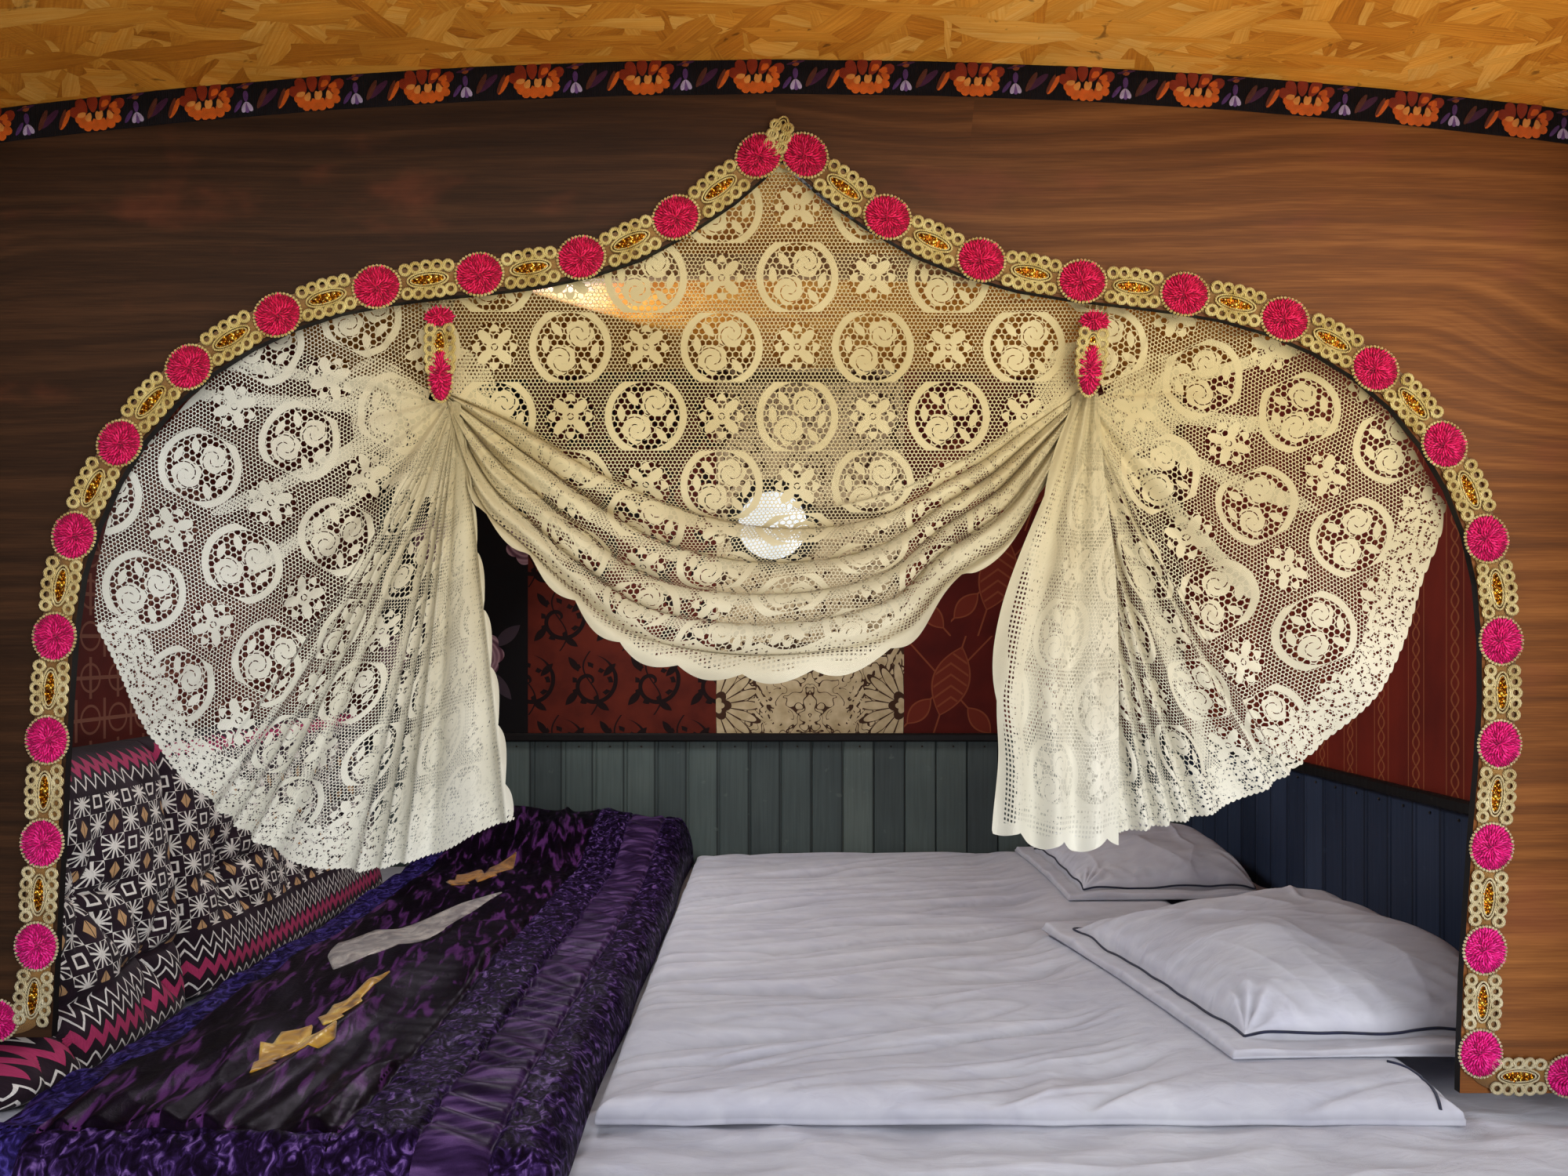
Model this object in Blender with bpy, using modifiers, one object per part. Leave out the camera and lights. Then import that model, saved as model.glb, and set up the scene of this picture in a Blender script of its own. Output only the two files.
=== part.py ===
"""Bed-place of a living wagon: the arched screen, bed base, bedding, lace drapes, walls and roof.

Metres, +Z up. X runs across the wagon, +Y towards its end wall. The origin is at the middle of
the bearers' undersides. Run it with blender --background --python part.py.
"""

import math

import bmesh
import bpy
from mathutils import Matrix, Vector

# Driving sizes of the wagon's end
INNER_WIDTH = 2.14
FORE_LENGTH = 0.32
SCREEN_TO_END_WALL = 1.66
BEARER_HEIGHT = 0.060
BEARER_WIDTH = 0.070
FLOOR_THICKNESS = 0.020
CROWN_HEIGHT = 2.115
CEILING_RADIUS = 7.80
DADO_HEIGHT = 1.120
SEAT = 0.0003

# Walls
LINING = 0.014
BOARD_PITCH = 0.083
GROOVE_WIDTH = 0.006
GROOVE_DEPTH = 0.003
RIB_DEPTH = 0.035
RIB_WIDTH = 0.045
PLATE_HEIGHT = 0.060
DADO_RAIL_HEIGHT = 0.022
DADO_RAIL_DEPTH = 0.016

# Roof
ROOF_BOARD = 0.015
ROOF_SKIN = 0.003
ROOF_OVERHANG = 0.015
DRIP_EDGE = 0.030
BOW_DEPTH = 0.040
BOW_WIDTH = 0.030
MID_BOW_SETBACK = 0.75
ROOF_JOINT = 0.457
ROOF_SEGMENTS = 12

# Arched screen, sawn by hand: its edge from the tip to each foot as shares
# (of the half width, of the headroom between bed and crown)
SCREEN_THICKNESS = 0.012
ARCH_TIP = (0.003, 0.906)
ARCH_LEFT = [(-0.052, 0.865), (-0.162, 0.811), (-0.279, 0.785), (-0.402, 0.774), (-0.514, 0.759),
             (-0.616, 0.726), (-0.705, 0.673), (-0.772, 0.598), (-0.813, 0.510), (-0.828, 0.395),
             (-0.836, 0.268), (-0.845, 0.137), (-0.849, 0.072)]
ARCH_RIGHT = [(0.056, 0.867), (0.160, 0.814), (0.279, 0.781), (0.401, 0.767), (0.518, 0.753),
              (0.625, 0.722), (0.715, 0.669), (0.780, 0.592), (0.814, 0.502), (0.820, 0.388),
              (0.809, 0.265), (0.798, 0.129), (0.794, 0.019)]
ARCH_STEPS = 2
CLEAT = 0.028

# Trimmings sewn to the screen
TRIM_WIDTH = 0.058
TRIM_THICKNESS = 0.004
TRIM_PITCH = 0.132
ROSETTE_SHARE = 0.46
WAIST_SHARE = 0.62
RIBBON_WIDTH = 0.042
RIBBON_THICKNESS = 0.0015

# Bed base
BED_SETBACK = 0.030
FRAME_THICKNESS = 0.025
DECK_TOP = 0.640
DECK_THICKNESS = 0.018
BED_LIP = 0.030
FRAME_MARGIN = 0.060
FRAME_TOP_RAIL = 0.075
DOOR_CLEARANCE = 0.005
DOOR_THICKNESS = 0.020
LEDGE_THICKNESS = 0.014
LEDGE_HEIGHT = 0.060
HINGE_RADIUS = 0.006
HINGE_LEAF = 0.022
HINGE_PLATE = 0.0015
HINGE_KNUCKLES = 5
HINGE_SLACK = 0.0016
KNOB_RADIUS = 0.016
KNOB_REACH = 0.022
SLOT_COUNT = 5
SLOT_WIDTH = 0.030

# Round window in the end wall
WINDOW_RADIUS = 0.100
WINDOW_PLACE = (-0.023, 0.681)
WINDOW_RING = 0.022
WINDOW_RING_DEPTH = 0.010
GLASS_THICKNESS = 0.004

# Bedding
MATTRESS_TOP = 0.800
MATTRESS_SIDE_GAP = 0.010
BEDDING_GAP = 0.020
DUVET_THICKNESS = 0.045
DUVET_LEFT = -0.210
DUVET_RIGHT = 0.780
DUVET_REACH = 0.040
QUILT_THICKNESS = 0.075
PAD_HEIGHT = 0.430
PAD_DEPTH = 0.165
PAD_TOE = 0.090
PAD_JOINTS = (0.243, 0.801)
PILLOW_THICKNESS = 0.105
# Each pillow: (name, left edge over the half width, near and far ends over the bed's depth, skew)
PILLOWS = (("pillow_rear", 0.561, 0.596, 0.940, 0.0), ("pillow_front", 0.551, 0.036, 0.446, 0.05))

# Lace
LACE_THICKNESS = 0.0024
LEFT_TIE = (-0.394, 0.681)
RIGHT_TIE = (0.363, 0.686)
STRAP_WIDTH = 0.028
STRAP_THICKNESS = 0.004

# Places worked out from the sizes above
HALF_WIDTH = INNER_WIDTH / 2
OUTER_HALF_WIDTH = HALF_WIDTH + LINING + RIB_DEPTH
LENGTH = FORE_LENGTH + SCREEN_TO_END_WALL + LINING + RIB_DEPTH
FRONT_Y = -LENGTH / 2
BACK_Y = LENGTH / 2
SCREEN_Y = FRONT_Y + FORE_LENGTH
SCREEN_BACK_Y = SCREEN_Y + SCREEN_THICKNESS
END_WALL_Y = SCREEN_Y + SCREEN_TO_END_WALL
FLOOR_TOP = BEARER_HEIGHT + FLOOR_THICKNESS
FRAME_Y = FRONT_Y + BED_SETBACK
FRAME_BACK_Y = FRAME_Y + FRAME_THICKNESS
DECK_UNDERSIDE = DECK_TOP - DECK_THICKNESS
DADO_SPLIT = DADO_HEIGHT + DADO_RAIL_HEIGHT / 2
ROOF_HALF = OUTER_HALF_WIDTH + ROOF_OVERHANG
LACE_Y = SCREEN_BACK_Y + SEAT + LACE_THICKNESS / 2

parts = bpy.data.collections.new("wagon bed-place")
helpers = bpy.data.collections.new("cutters")


def clear_scene():
    for obj in list(bpy.data.objects):
        bpy.data.objects.remove(obj, do_unlink=True)
    for collection in (parts, helpers):
        bpy.context.scene.collection.children.link(collection)
    helpers.hide_render = True


def material(name, colour, roughness=0.6, metallic=0.0):
    made = bpy.data.materials.get(name)
    if made:
        return made
    made = bpy.data.materials.new(name)
    made.use_nodes = True
    shader = made.node_tree.nodes["Principled BSDF"]
    shader.inputs["Base Color"].default_value = (*colour, 1.0)
    shader.inputs["Roughness"].default_value = roughness
    shader.inputs["Metallic"].default_value = metallic
    return made


def painted_board():
    return material("painted boards", (0.045, 0.075, 0.090), 0.55)


def stained_ply():
    return material("stained ply", (0.110, 0.050, 0.022), 0.45)


def bare_timber():
    return material("bare timber", (0.420, 0.280, 0.150), 0.65)


def strand_board():
    return material("strand board", (0.560, 0.300, 0.090), 0.60)


def wall_paper():
    return material("wall paper", (0.180, 0.020, 0.020), 0.75)


def black_paint():
    return material("black paint", (0.012, 0.012, 0.013), 0.45)


def roof_felt():
    return material("roof felt", (0.060, 0.090, 0.060), 0.90)


def brass():
    return material("brass", (0.600, 0.420, 0.150), 0.35, 1.0)


def clear_glass():
    return material("glass", (0.800, 0.880, 0.900), 0.05)


def white_cotton():
    return material("white cotton", (0.780, 0.760, 0.780), 0.85)


def purple_velvet():
    return material("purple velvet", (0.045, 0.012, 0.110), 0.70)


def ikat_cloth():
    return material("ikat cloth", (0.060, 0.035, 0.045), 0.85)


def lace_cotton():
    return material("lace cotton", (0.780, 0.720, 0.560), 0.90)


def rosette_braid():
    return material("rosette braid", (0.700, 0.010, 0.180), 0.80)


def woven_ribbon():
    return material("woven ribbon", (0.015, 0.015, 0.030), 0.70)


def mesh_object(name, bm, finish):
    mesh = bpy.data.meshes.new(name)
    bm.to_mesh(mesh)
    bm.free()
    obj = bpy.data.objects.new(name, mesh)
    parts.objects.link(obj)
    mesh.materials.append(finish)
    return obj


def box(name, low, high, finish, bevel=0.0):
    """A box between two corners, with its long edges eased."""
    low, high = Vector(low), Vector(high)
    bm = bmesh.new()
    bmesh.ops.create_cube(bm, size=1.0)
    bmesh.ops.scale(bm, vec=high - low, verts=bm.verts)
    obj = mesh_object(name, bm, finish)
    obj.location = (low + high) / 2
    if bevel:
        ease = obj.modifiers.new("eased edges", "BEVEL")
        ease.width = bevel
        ease.segments = 1
    return obj


def plate(name, outlines, thickness, finish, middle, turn):
    """A flat piece from closed outlines, the second and later ones being holes."""
    curve = bpy.data.curves.new(name, "CURVE")
    curve.dimensions = "2D"
    curve.fill_mode = "BOTH"
    curve.extrude = thickness / 2
    for outline in outlines:
        spline = curve.splines.new("POLY")
        spline.points.add(len(outline) - 1)
        for point, (a, b) in zip(spline.points, outline):
            point.co = (a, b, 0.0, 1.0)
        spline.use_cyclic_u = True
    obj = bpy.data.objects.new(name, curve)
    parts.objects.link(obj)
    curve.materials.append(finish)
    obj.location = middle
    obj.rotation_euler = turn
    return obj


UPRIGHT_ACROSS = (math.pi / 2, 0.0, 0.0)
FLAT = (0.0, 0.0, 0.0)


def combine(obj, other, operation):
    """Cuts or joins another shape, which becomes a helper."""
    for collection in list(other.users_collection):
        collection.objects.unlink(other)
    helpers.objects.link(other)
    other.hide_render = True
    other.display_type = "WIRE"
    change = obj.modifiers.new(operation.lower(), "BOOLEAN")
    change.operation = operation
    change.solver = "EXACT"
    change.object = other
    return obj


def rod(name, radius, low, high, axis, finish, sides=12):
    """A round bar between two points on a line along an axis."""
    length = (Vector(high) - Vector(low)).length
    bm = bmesh.new()
    bmesh.ops.create_cone(
        bm, cap_ends=True, segments=sides, radius1=radius, radius2=radius, depth=length
    )
    obj = mesh_object(name, bm, finish)
    obj.location = (Vector(low) + Vector(high)) / 2
    obj.rotation_euler = {"X": (0, math.pi / 2, 0), "Y": (math.pi / 2, 0, 0), "Z": FLAT}[axis]
    return obj


def roof_height(x):
    """Height of the true curve of the roof boards' underside."""
    return CROWN_HEIGHT - CEILING_RADIUS + math.sqrt(CEILING_RADIUS**2 - x**2)


def ceiling(x):
    """Height of the roof boards' underside, which is made of short flats."""
    step = ROOF_HALF * 2 / ROOF_SEGMENTS
    start = math.floor(x / step) * step
    share = (x - start) / step
    return roof_height(start) * (1 - share) + roof_height(start + step) * share


def ceiling_line(half, lift=0.0):
    """Points along the ceiling from left to right, raised by lift."""
    step = ROOF_HALF * 2 / ROOF_SEGMENTS
    inside = [i * step for i in range(-ROOF_SEGMENTS, ROOF_SEGMENTS + 1) if abs(i * step) < half - 0.0001]
    return [(x, ceiling(x) + lift) for x in (-half, *inside, half)]


def smooth_path(points, share):
    """A point on a smooth curve through the given points, for a share from 0 to 1."""
    place = share * (len(points) - 1)
    i = min(int(place), len(points) - 2)
    t = place - i
    p0, p1, p2, p3 = (points[max(0, min(len(points) - 1, i + k))] for k in (-1, 0, 1, 2))
    mixed = []
    for a, b, c, d in zip(p0, p1, p2, p3):
        mixed.append(0.5 * (2 * b + (c - a) * t + (2 * a - 5 * b + 4 * c - d) * t**2
                            + (3 * b - a - 3 * c + d) * t**3))
    return mixed


def placed(shares):
    """The (x, z) of a place given in shares of the half width and of the headroom over the bed."""
    return shares[0] * HALF_WIDTH, MATTRESS_TOP + shares[1] * (CROWN_HEIGHT - MATTRESS_TOP)


def arch_side(points):
    """One side of the arch as a smooth run of points from the tip to the foot."""
    named = [placed(share) for share in (ARCH_TIP, *points)]
    count = ARCH_STEPS * (len(named) - 1)
    return [smooth_path(named, i / count) for i in range(count + 1)]


def arch_edge():
    """The whole sawn edge in (x, z), from the left foot over the tip to the right foot."""
    return [*reversed(arch_side(ARCH_LEFT)), *arch_side(ARCH_RIGHT)[1:]]


def arch_height(x):
    """Height of the arch's edge at a distance left or right of the middle."""
    side = arch_side(ARCH_LEFT if x < placed(ARCH_TIP)[0] else ARCH_RIGHT)
    for (ax, az), (bx, bz) in zip(side, side[1:]):
        if min(ax, bx) <= x <= max(ax, bx):
            return az + (bz - az) * (x - ax) / (bx - ax)
    return side[-1][1]


def along(points, distance):
    """The point at a distance along a polyline, and the direction there."""
    for (ax, az), (bx, bz) in zip(points, points[1:]):
        run = math.hypot(bx - ax, bz - az)
        if distance <= run or (bx, bz) == points[-1]:
            share = distance / run
            return (ax + (bx - ax) * share, az + (bz - az) * share,
                    (bx - ax) / run, (bz - az) / run)
        distance -= run
    return None


def path_length(points):
    return sum(math.hypot(b[0] - a[0], b[1] - a[1]) for a, b in zip(points, points[1:]))


def floor():
    half = OUTER_HALF_WIDTH
    for name, y in (("bearer_front", FRONT_Y), ("bearer_rear", BACK_Y - BEARER_WIDTH)):
        box(name, (-half, y, 0), (half, y + BEARER_WIDTH, BEARER_HEIGHT), bare_timber(), 0.003)
    low = BEARER_HEIGHT + SEAT
    count = round(LENGTH / (1.5 * BOARD_PITCH))
    outline = board_outline(FRONT_Y, BACK_Y, count, low, FLOOR_TOP, under=False)
    obj = plate("floor_boards", [outline], 2 * half, bare_timber(), (0, 0, 0), (math.pi / 2, 0, math.pi / 2))
    return obj


def board_outline(start, end, count, inner, outer, under=True):
    """The section of a row of boards with a V groove at each joint, on both faces or one."""
    pitch = (end - start) / count
    joints = [start + pitch * i for i in range(1, count)]
    half = GROOVE_WIDTH / 2
    sign = 1 if outer > inner else -1
    face, back = [], []
    for joint in joints:
        face += [(joint - half, outer), (joint, outer - sign * GROOVE_DEPTH), (joint + half, outer)]
        if under:
            back += [(joint - half, inner), (joint, inner + sign * GROOVE_DEPTH), (joint + half, inner)]
    return [(start, outer), *face, (end, outer), (end, inner), *reversed(back), (start, inner)]


def walls():
    """Grooved boards to the dado, papered lining above it, a rail over the joint, ribs outside."""
    low = FLOOR_TOP + SEAT
    boards = DADO_SPLIT - SEAT - low
    top = ceiling(HALF_WIDTH + LINING) - SEAT
    side_count = round((END_WALL_Y + LINING - FRONT_Y) / BOARD_PITCH)
    for name, sign in (("left", -1), ("right", 1)):
        outline = board_outline(FRONT_Y, END_WALL_Y + LINING, side_count,
                                sign * HALF_WIDTH, sign * (HALF_WIDTH + LINING))
        outline = [(b, a) for a, b in outline]
        plate(f"wainscot_{name}", [outline], boards, painted_board(), (0, 0, low + boards / 2), FLAT)
        ends = sorted((sign * HALF_WIDTH, sign * (HALF_WIDTH + LINING)))
        box(f"upper_wall_{name}", (ends[0], FRONT_Y, DADO_SPLIT), (ends[1], END_WALL_Y + LINING, top),
            wall_paper())
        rail = sorted((sign * (HALF_WIDTH - SEAT), sign * (HALF_WIDTH - DADO_RAIL_DEPTH)))
        box(f"dado_{name}", (rail[0], SCREEN_BACK_Y + CLEAT + 2 * SEAT, DADO_HEIGHT),
            (rail[1], END_WALL_Y - DADO_RAIL_DEPTH - 2 * SEAT, DADO_HEIGHT + DADO_RAIL_HEIGHT),
            black_paint(), 0.004)
    inner = HALF_WIDTH - SEAT
    end_count = round(INNER_WIDTH / BOARD_PITCH)
    outline = board_outline(-inner, inner, end_count, END_WALL_Y, END_WALL_Y + LINING)
    plate("wainscot_end", [outline], boards, painted_board(), (0, 0, low + boards / 2), FLAT)
    box("dado_end", (-inner, END_WALL_Y - DADO_RAIL_DEPTH, DADO_HEIGHT),
        (inner, END_WALL_Y - SEAT, DADO_HEIGHT + DADO_RAIL_HEIGHT), black_paint(), 0.004)
    papered_end_wall(inner)
    ribs(low)


def circle(x, z, radius, steps=20):
    turns = [2 * math.pi * i / steps for i in range(steps)]
    return [(x + radius * math.cos(a), z + radius * math.sin(a)) for a in turns]


def papered_end_wall(inner):
    """The end wall above the dado, arched to the roof, with its round window."""
    x, z = placed(WINDOW_PLACE)
    outline = [(-inner, DADO_SPLIT), (inner, DADO_SPLIT), *reversed(ceiling_line(inner, -SEAT))]
    hole = circle(x, z, WINDOW_RADIUS)
    plate("upper_wall_end", [outline, hole], LINING, wall_paper(),
          (0, END_WALL_Y + LINING / 2, 0), UPRIGHT_ACROSS)
    glass = circle(x, z, WINDOW_RADIUS - SEAT)
    plate("window_glass", [glass], GLASS_THICKNESS, clear_glass(),
          (0, END_WALL_Y + LINING / 2, 0), UPRIGHT_ACROSS)
    ring = [circle(x, z, WINDOW_RADIUS + WINDOW_RING),
            circle(x, z, WINDOW_RADIUS - WINDOW_RING / 3)]
    for name, y in (("window_ring_inner", END_WALL_Y - SEAT - WINDOW_RING_DEPTH / 2),
                    ("window_ring_outer", END_WALL_Y + LINING + SEAT + WINDOW_RING_DEPTH / 2)):
        plate(name, ring, WINDOW_RING_DEPTH, black_paint(), (0, y, 0), UPRIGHT_ACROSS)


def ribs(low):
    """Upright ribs outside the boards, with a plate along each side that carries the roof."""
    plate_top = ceiling(OUTER_HALF_WIDTH) - SEAT
    plate_low = plate_top - PLATE_HEIGHT
    stations = [FRONT_Y, (FRONT_Y + BACK_Y - RIB_WIDTH) / 2, BACK_Y - RIB_WIDTH]
    for side, sign in (("left", -1), ("right", 1)):
        x = sorted((sign * (HALF_WIDTH + LINING + SEAT), sign * OUTER_HALF_WIDTH))
        for number, y in enumerate(stations, 1):
            box(f"rib_{side}_{number}", (x[0], y, low), (x[1], y + RIB_WIDTH, plate_low - SEAT),
                painted_board(), 0.005)
        box(f"eaves_plate_{side}", (x[0], FRONT_Y, plate_low), (x[1], BACK_Y, plate_top), painted_board())
    for side, sign in (("left", -1), ("right", 1)):
        x = sign * HALF_WIDTH * 0.45
        box(f"rib_end_{side}", (x - RIB_WIDTH / 2, END_WALL_Y + LINING + SEAT, low),
            (x + RIB_WIDTH / 2, BACK_Y, ceiling(abs(x) + RIB_WIDTH) - SEAT), painted_board(), 0.005)


def arc_band(half, low_lift, high_lift):
    """A closed band between two lifts above the ceiling line."""
    return [*ceiling_line(half, low_lift), *reversed(ceiling_line(half, high_lift))]


def roof():
    half = ROOF_HALF
    joint = END_WALL_Y - ROOF_JOINT
    for name, start, end in (("roof_boards_front", FRONT_Y, joint - SEAT), ("roof_boards_rear", joint, BACK_Y)):
        plate(name, [arc_band(half, 0.0, ROOF_BOARD)], end - start, strand_board(),
              (0, (start + end) / 2, 0), UPRIGHT_ACROSS)
    skin = half + SEAT + ROOF_SKIN
    edge = ceiling(half) - DRIP_EDGE
    under = [(half + SEAT, edge), *reversed(ceiling_line(half + SEAT, ROOF_BOARD + SEAT)), (-half - SEAT, edge)]
    over = [(-skin, edge), *ceiling_line(skin, ROOF_BOARD + SEAT + ROOF_SKIN), (skin, edge)]
    plate("roof_skin", [[*over, *under]], LENGTH, roof_felt(), (0, 0, 0), UPRIGHT_ACROSS)
    inner = HALF_WIDTH - SEAT
    bow = arc_band(inner, -SEAT - BOW_DEPTH, -SEAT)
    for name, y in (("roof_bow_front", FRONT_Y + BOW_WIDTH / 2), ("roof_bow_mid", SCREEN_Y + MID_BOW_SETBACK)):
        plate(name, [bow], BOW_WIDTH, bare_timber(), (0, y, 0), UPRIGHT_ACROSS)


def screen():
    """The arched screen, its cleats, and the ribbon sewn along the roof line."""
    inner = HALF_WIDTH - SEAT
    edge = arch_edge()
    outline = [(-inner, edge[0][1]), *edge, (inner, edge[-1][1]), *reversed(ceiling_line(inner, -SEAT))]
    plate("arch_screen", [outline], SCREEN_THICKNESS, stained_ply(),
          (0, SCREEN_Y + SCREEN_THICKNESS / 2, 0), UPRIGHT_ACROSS)
    low = MATTRESS_TOP + PAD_HEIGHT + 0.050
    for side, sign in (("left", -1), ("right", 1)):
        x = sorted((sign * inner, sign * (inner - CLEAT)))
        box(f"screen_cleat_{side}", (x[0], SCREEN_BACK_Y + SEAT, low),
            (x[1], SCREEN_BACK_Y + SEAT + CLEAT, ceiling(inner) - 2 * SEAT), bare_timber(), 0.003)
    ribbon = arc_band(inner, -2 * SEAT - RIBBON_WIDTH, -2 * SEAT)
    plate("roof_ribbon", [ribbon], RIBBON_THICKNESS, woven_ribbon(),
          (0, SCREEN_Y - SEAT - RIBBON_THICKNESS / 2, 0), UPRIGHT_ACROSS)


def trim_path():
    """The middle line of the braid: along the screen's lower edges and round the arch."""
    reach = TRIM_WIDTH / 2
    edge = arch_edge()
    path = []
    for i, (x, z) in enumerate(edge):
        before, after = edge[max(i - 1, 0)], edge[min(i + 1, len(edge) - 1)]
        run = math.hypot(after[0] - before[0], after[1] - before[1])
        path.append((x - (after[1] - before[1]) / run * reach, z + (after[0] - before[0]) / run * reach))
    left = (edge[0][0] - reach, edge[0][1] + reach)
    right = (edge[-1][0] + reach, edge[-1][1] + reach)
    end = HALF_WIDTH - 2 * SEAT
    return [(-end, left[1]), left, *path[1:-1], right, (end, right[1])]


def distance_to(path, x, z):
    """The shortest distance from a point to a polyline."""
    nearest = math.inf
    for (ax, az), (bx, bz) in zip(path, path[1:]):
        run = (bx - ax)**2 + (bz - az)**2
        share = max(0.0, min(1.0, ((x - ax) * (bx - ax) + (z - az) * (bz - az)) / run))
        nearest = min(nearest, math.hypot(ax + (bx - ax) * share - x, az + (bz - az) * share - z))
    return nearest


def braid_outline(path, start, end, half_width):
    """A band along the path that swells at each rosette and narrows between them.

    Edge points that a corner of the path would fold over one another are left out.
    """
    steps = max(4, round((end - start) / (TRIM_PITCH / 6)))
    upper, lower = [], []
    for i in range(steps + 1):
        d = start + (end - start) * i / steps
        x, z, dx, dz = along(path, d)
        phase = (d / TRIM_PITCH) % 1.0
        swell = 1.0 if phase < ROSETTE_SHARE else WAIST_SHARE + 0.3 * abs(math.sin(3 * math.pi * phase))
        reach = half_width * swell
        for side, sign in ((upper, 1), (lower, -1)):
            point = (x - sign * dz * reach, z + sign * dx * reach)
            if distance_to(path, *point) > 0.97 * reach:
                side.append(point)
    return [*lower, *reversed(upper)]


def trimmings():
    """Rosette braid round the arch and the two straps that hold up the lace."""
    path = trim_path()
    outline = braid_outline(path, 0.0, path_length(path), TRIM_WIDTH / 2)
    plate("arch_braid", [outline], TRIM_THICKNESS, rosette_braid(),
          (0, SCREEN_Y - SEAT - TRIM_THICKNESS / 2, 0), UPRIGHT_ACROSS)
    half = STRAP_WIDTH / 2
    for side, tie in (("left", LEFT_TIE), ("right", RIGHT_TIE)):
        x, low = placed(tie)
        top = min(arch_height(x - half), arch_height(x + half)) - SEAT
        middle = low + (top - low) * 0.45
        shape = [(x, low), (x + half, middle), (x + half * 0.9, top), (x - half * 0.9, top), (x - half, middle)]
        plate(f"lace_strap_{side}", [shape], STRAP_THICKNESS, rosette_braid(),
              (0, SCREEN_Y + SCREEN_THICKNESS / 2, 0), UPRIGHT_ACROSS)


def bed_base():
    """Front frame with two doorways, deck on cleats, and a divider under its middle."""
    inner = HALF_WIDTH - SEAT
    low, top = FLOOR_TOP + SEAT, DECK_TOP + BED_LIP
    frame = [(-inner, low), (inner, low), (inner, top), (-inner, top)]
    doorways = [doorway(sign) for sign in (-1, 1)]
    plate("bed_front", [frame, *doorways], FRAME_THICKNESS, painted_board(),
          (0, FRAME_Y + FRAME_THICKNESS / 2, 0), UPRIGHT_ACROSS)
    start, end = FRAME_BACK_Y + SEAT, END_WALL_Y - SEAT
    deck = [(-inner, start), (inner, start), (inner, end), (-inner, end)]
    slots = [slot for side in (-1, 1) for slot in deck_slots(side, start, end)]
    plate("bed_deck", [deck, *slots], DECK_THICKNESS, bare_timber(),
          (0, 0, DECK_UNDERSIDE + DECK_THICKNESS / 2), FLAT)
    cleat_top = DECK_UNDERSIDE - SEAT
    for side, sign in (("left", -1), ("right", 1)):
        x = sorted((sign * inner, sign * (inner - CLEAT)))
        box(f"bed_cleat_{side}", (x[0], start, cleat_top - CLEAT), (x[1], end, cleat_top), bare_timber())
    half = DECK_THICKNESS / 2
    box("bed_divider", (-half, start, low), (half, end, cleat_top), bare_timber())


def doorway(sign):
    """A doorway in the bed front, as its four corners."""
    near, far = FRAME_MARGIN / 2, HALF_WIDTH - FRAME_MARGIN
    low, high = FLOOR_TOP + FRAME_MARGIN, DECK_TOP - FRAME_TOP_RAIL
    return [(sign * near, low), (sign * far, low), (sign * far, high), (sign * near, high)]


def deck_slots(side, start, end):
    """Airing slots across half of the deck."""
    pitch = (end - start) / (SLOT_COUNT + 1)
    near, far = 0.15 * HALF_WIDTH, 0.85 * HALF_WIDTH
    slots = []
    for i in range(1, SLOT_COUNT + 1):
        low, high = start + pitch * i - SLOT_WIDTH / 2, start + pitch * i + SLOT_WIDTH / 2
        slots.append([(side * near, low), (side * far, low), (side * far, high), (side * near, high)])
    return slots


def doors():
    """Two boarded doors under the bed, each on one long hinge at its outer edge."""
    for side, sign in (("left", -1), ("right", 1)):
        corners = doorway(sign)
        xs = sorted(abs(x) for x, _ in corners)
        near, far = xs[0] + DOOR_CLEARANCE, xs[-1] - DOOR_CLEARANCE
        low, high = corners[0][1] + DOOR_CLEARANCE, corners[2][1] - DOOR_CLEARANCE
        ends = sorted((sign * near, sign * far))
        leaf = box(f"door_{side}", (ends[0], FRAME_Y, low), (ends[1], FRAME_Y + DOOR_THICKNESS, high),
                   painted_board())
        combine(leaf, groove_cutter(ends[0], ends[1], low, high), "DIFFERENCE")
        for z in (low + LEDGE_HEIGHT, high - 2 * LEDGE_HEIGHT):
            ends = sorted((sign * (near + LEDGE_HEIGHT), sign * (far - LEDGE_HEIGHT)))
            ledge = box("ledge", (ends[0], FRAME_Y + DOOR_THICKNESS - 0.004, z),
                        (ends[1], FRAME_Y + DOOR_THICKNESS + LEDGE_THICKNESS, z + LEDGE_HEIGHT), painted_board())
            combine(leaf, ledge, "UNION")
        hinge(side, sign, xs[-1], low, high)
        knob(side, sign * (near + LEDGE_HEIGHT), high - LEDGE_HEIGHT)


def groove_cutter(start, end, low, high):
    """Upright square bars on edge, one for each joint between the boards of a door."""
    count = round((end - start) / BOARD_PITCH)
    side = GROOVE_DEPTH * math.sqrt(2)
    bm = bmesh.new()
    for i in range(1, count):
        bar = bmesh.ops.create_cube(bm, size=1.0)["verts"]
        bmesh.ops.scale(bm, vec=(side, side, high - low + 0.02), verts=bar)
        bmesh.ops.rotate(bm, matrix=Matrix.Rotation(math.pi / 4, 3, "Z"), verts=bar)
        place = (start + (end - start) * i / count, FRAME_Y, (low + high) / 2)
        bmesh.ops.translate(bm, vec=place, verts=bar)
    return mesh_object("grooves", bm, painted_board())


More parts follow.
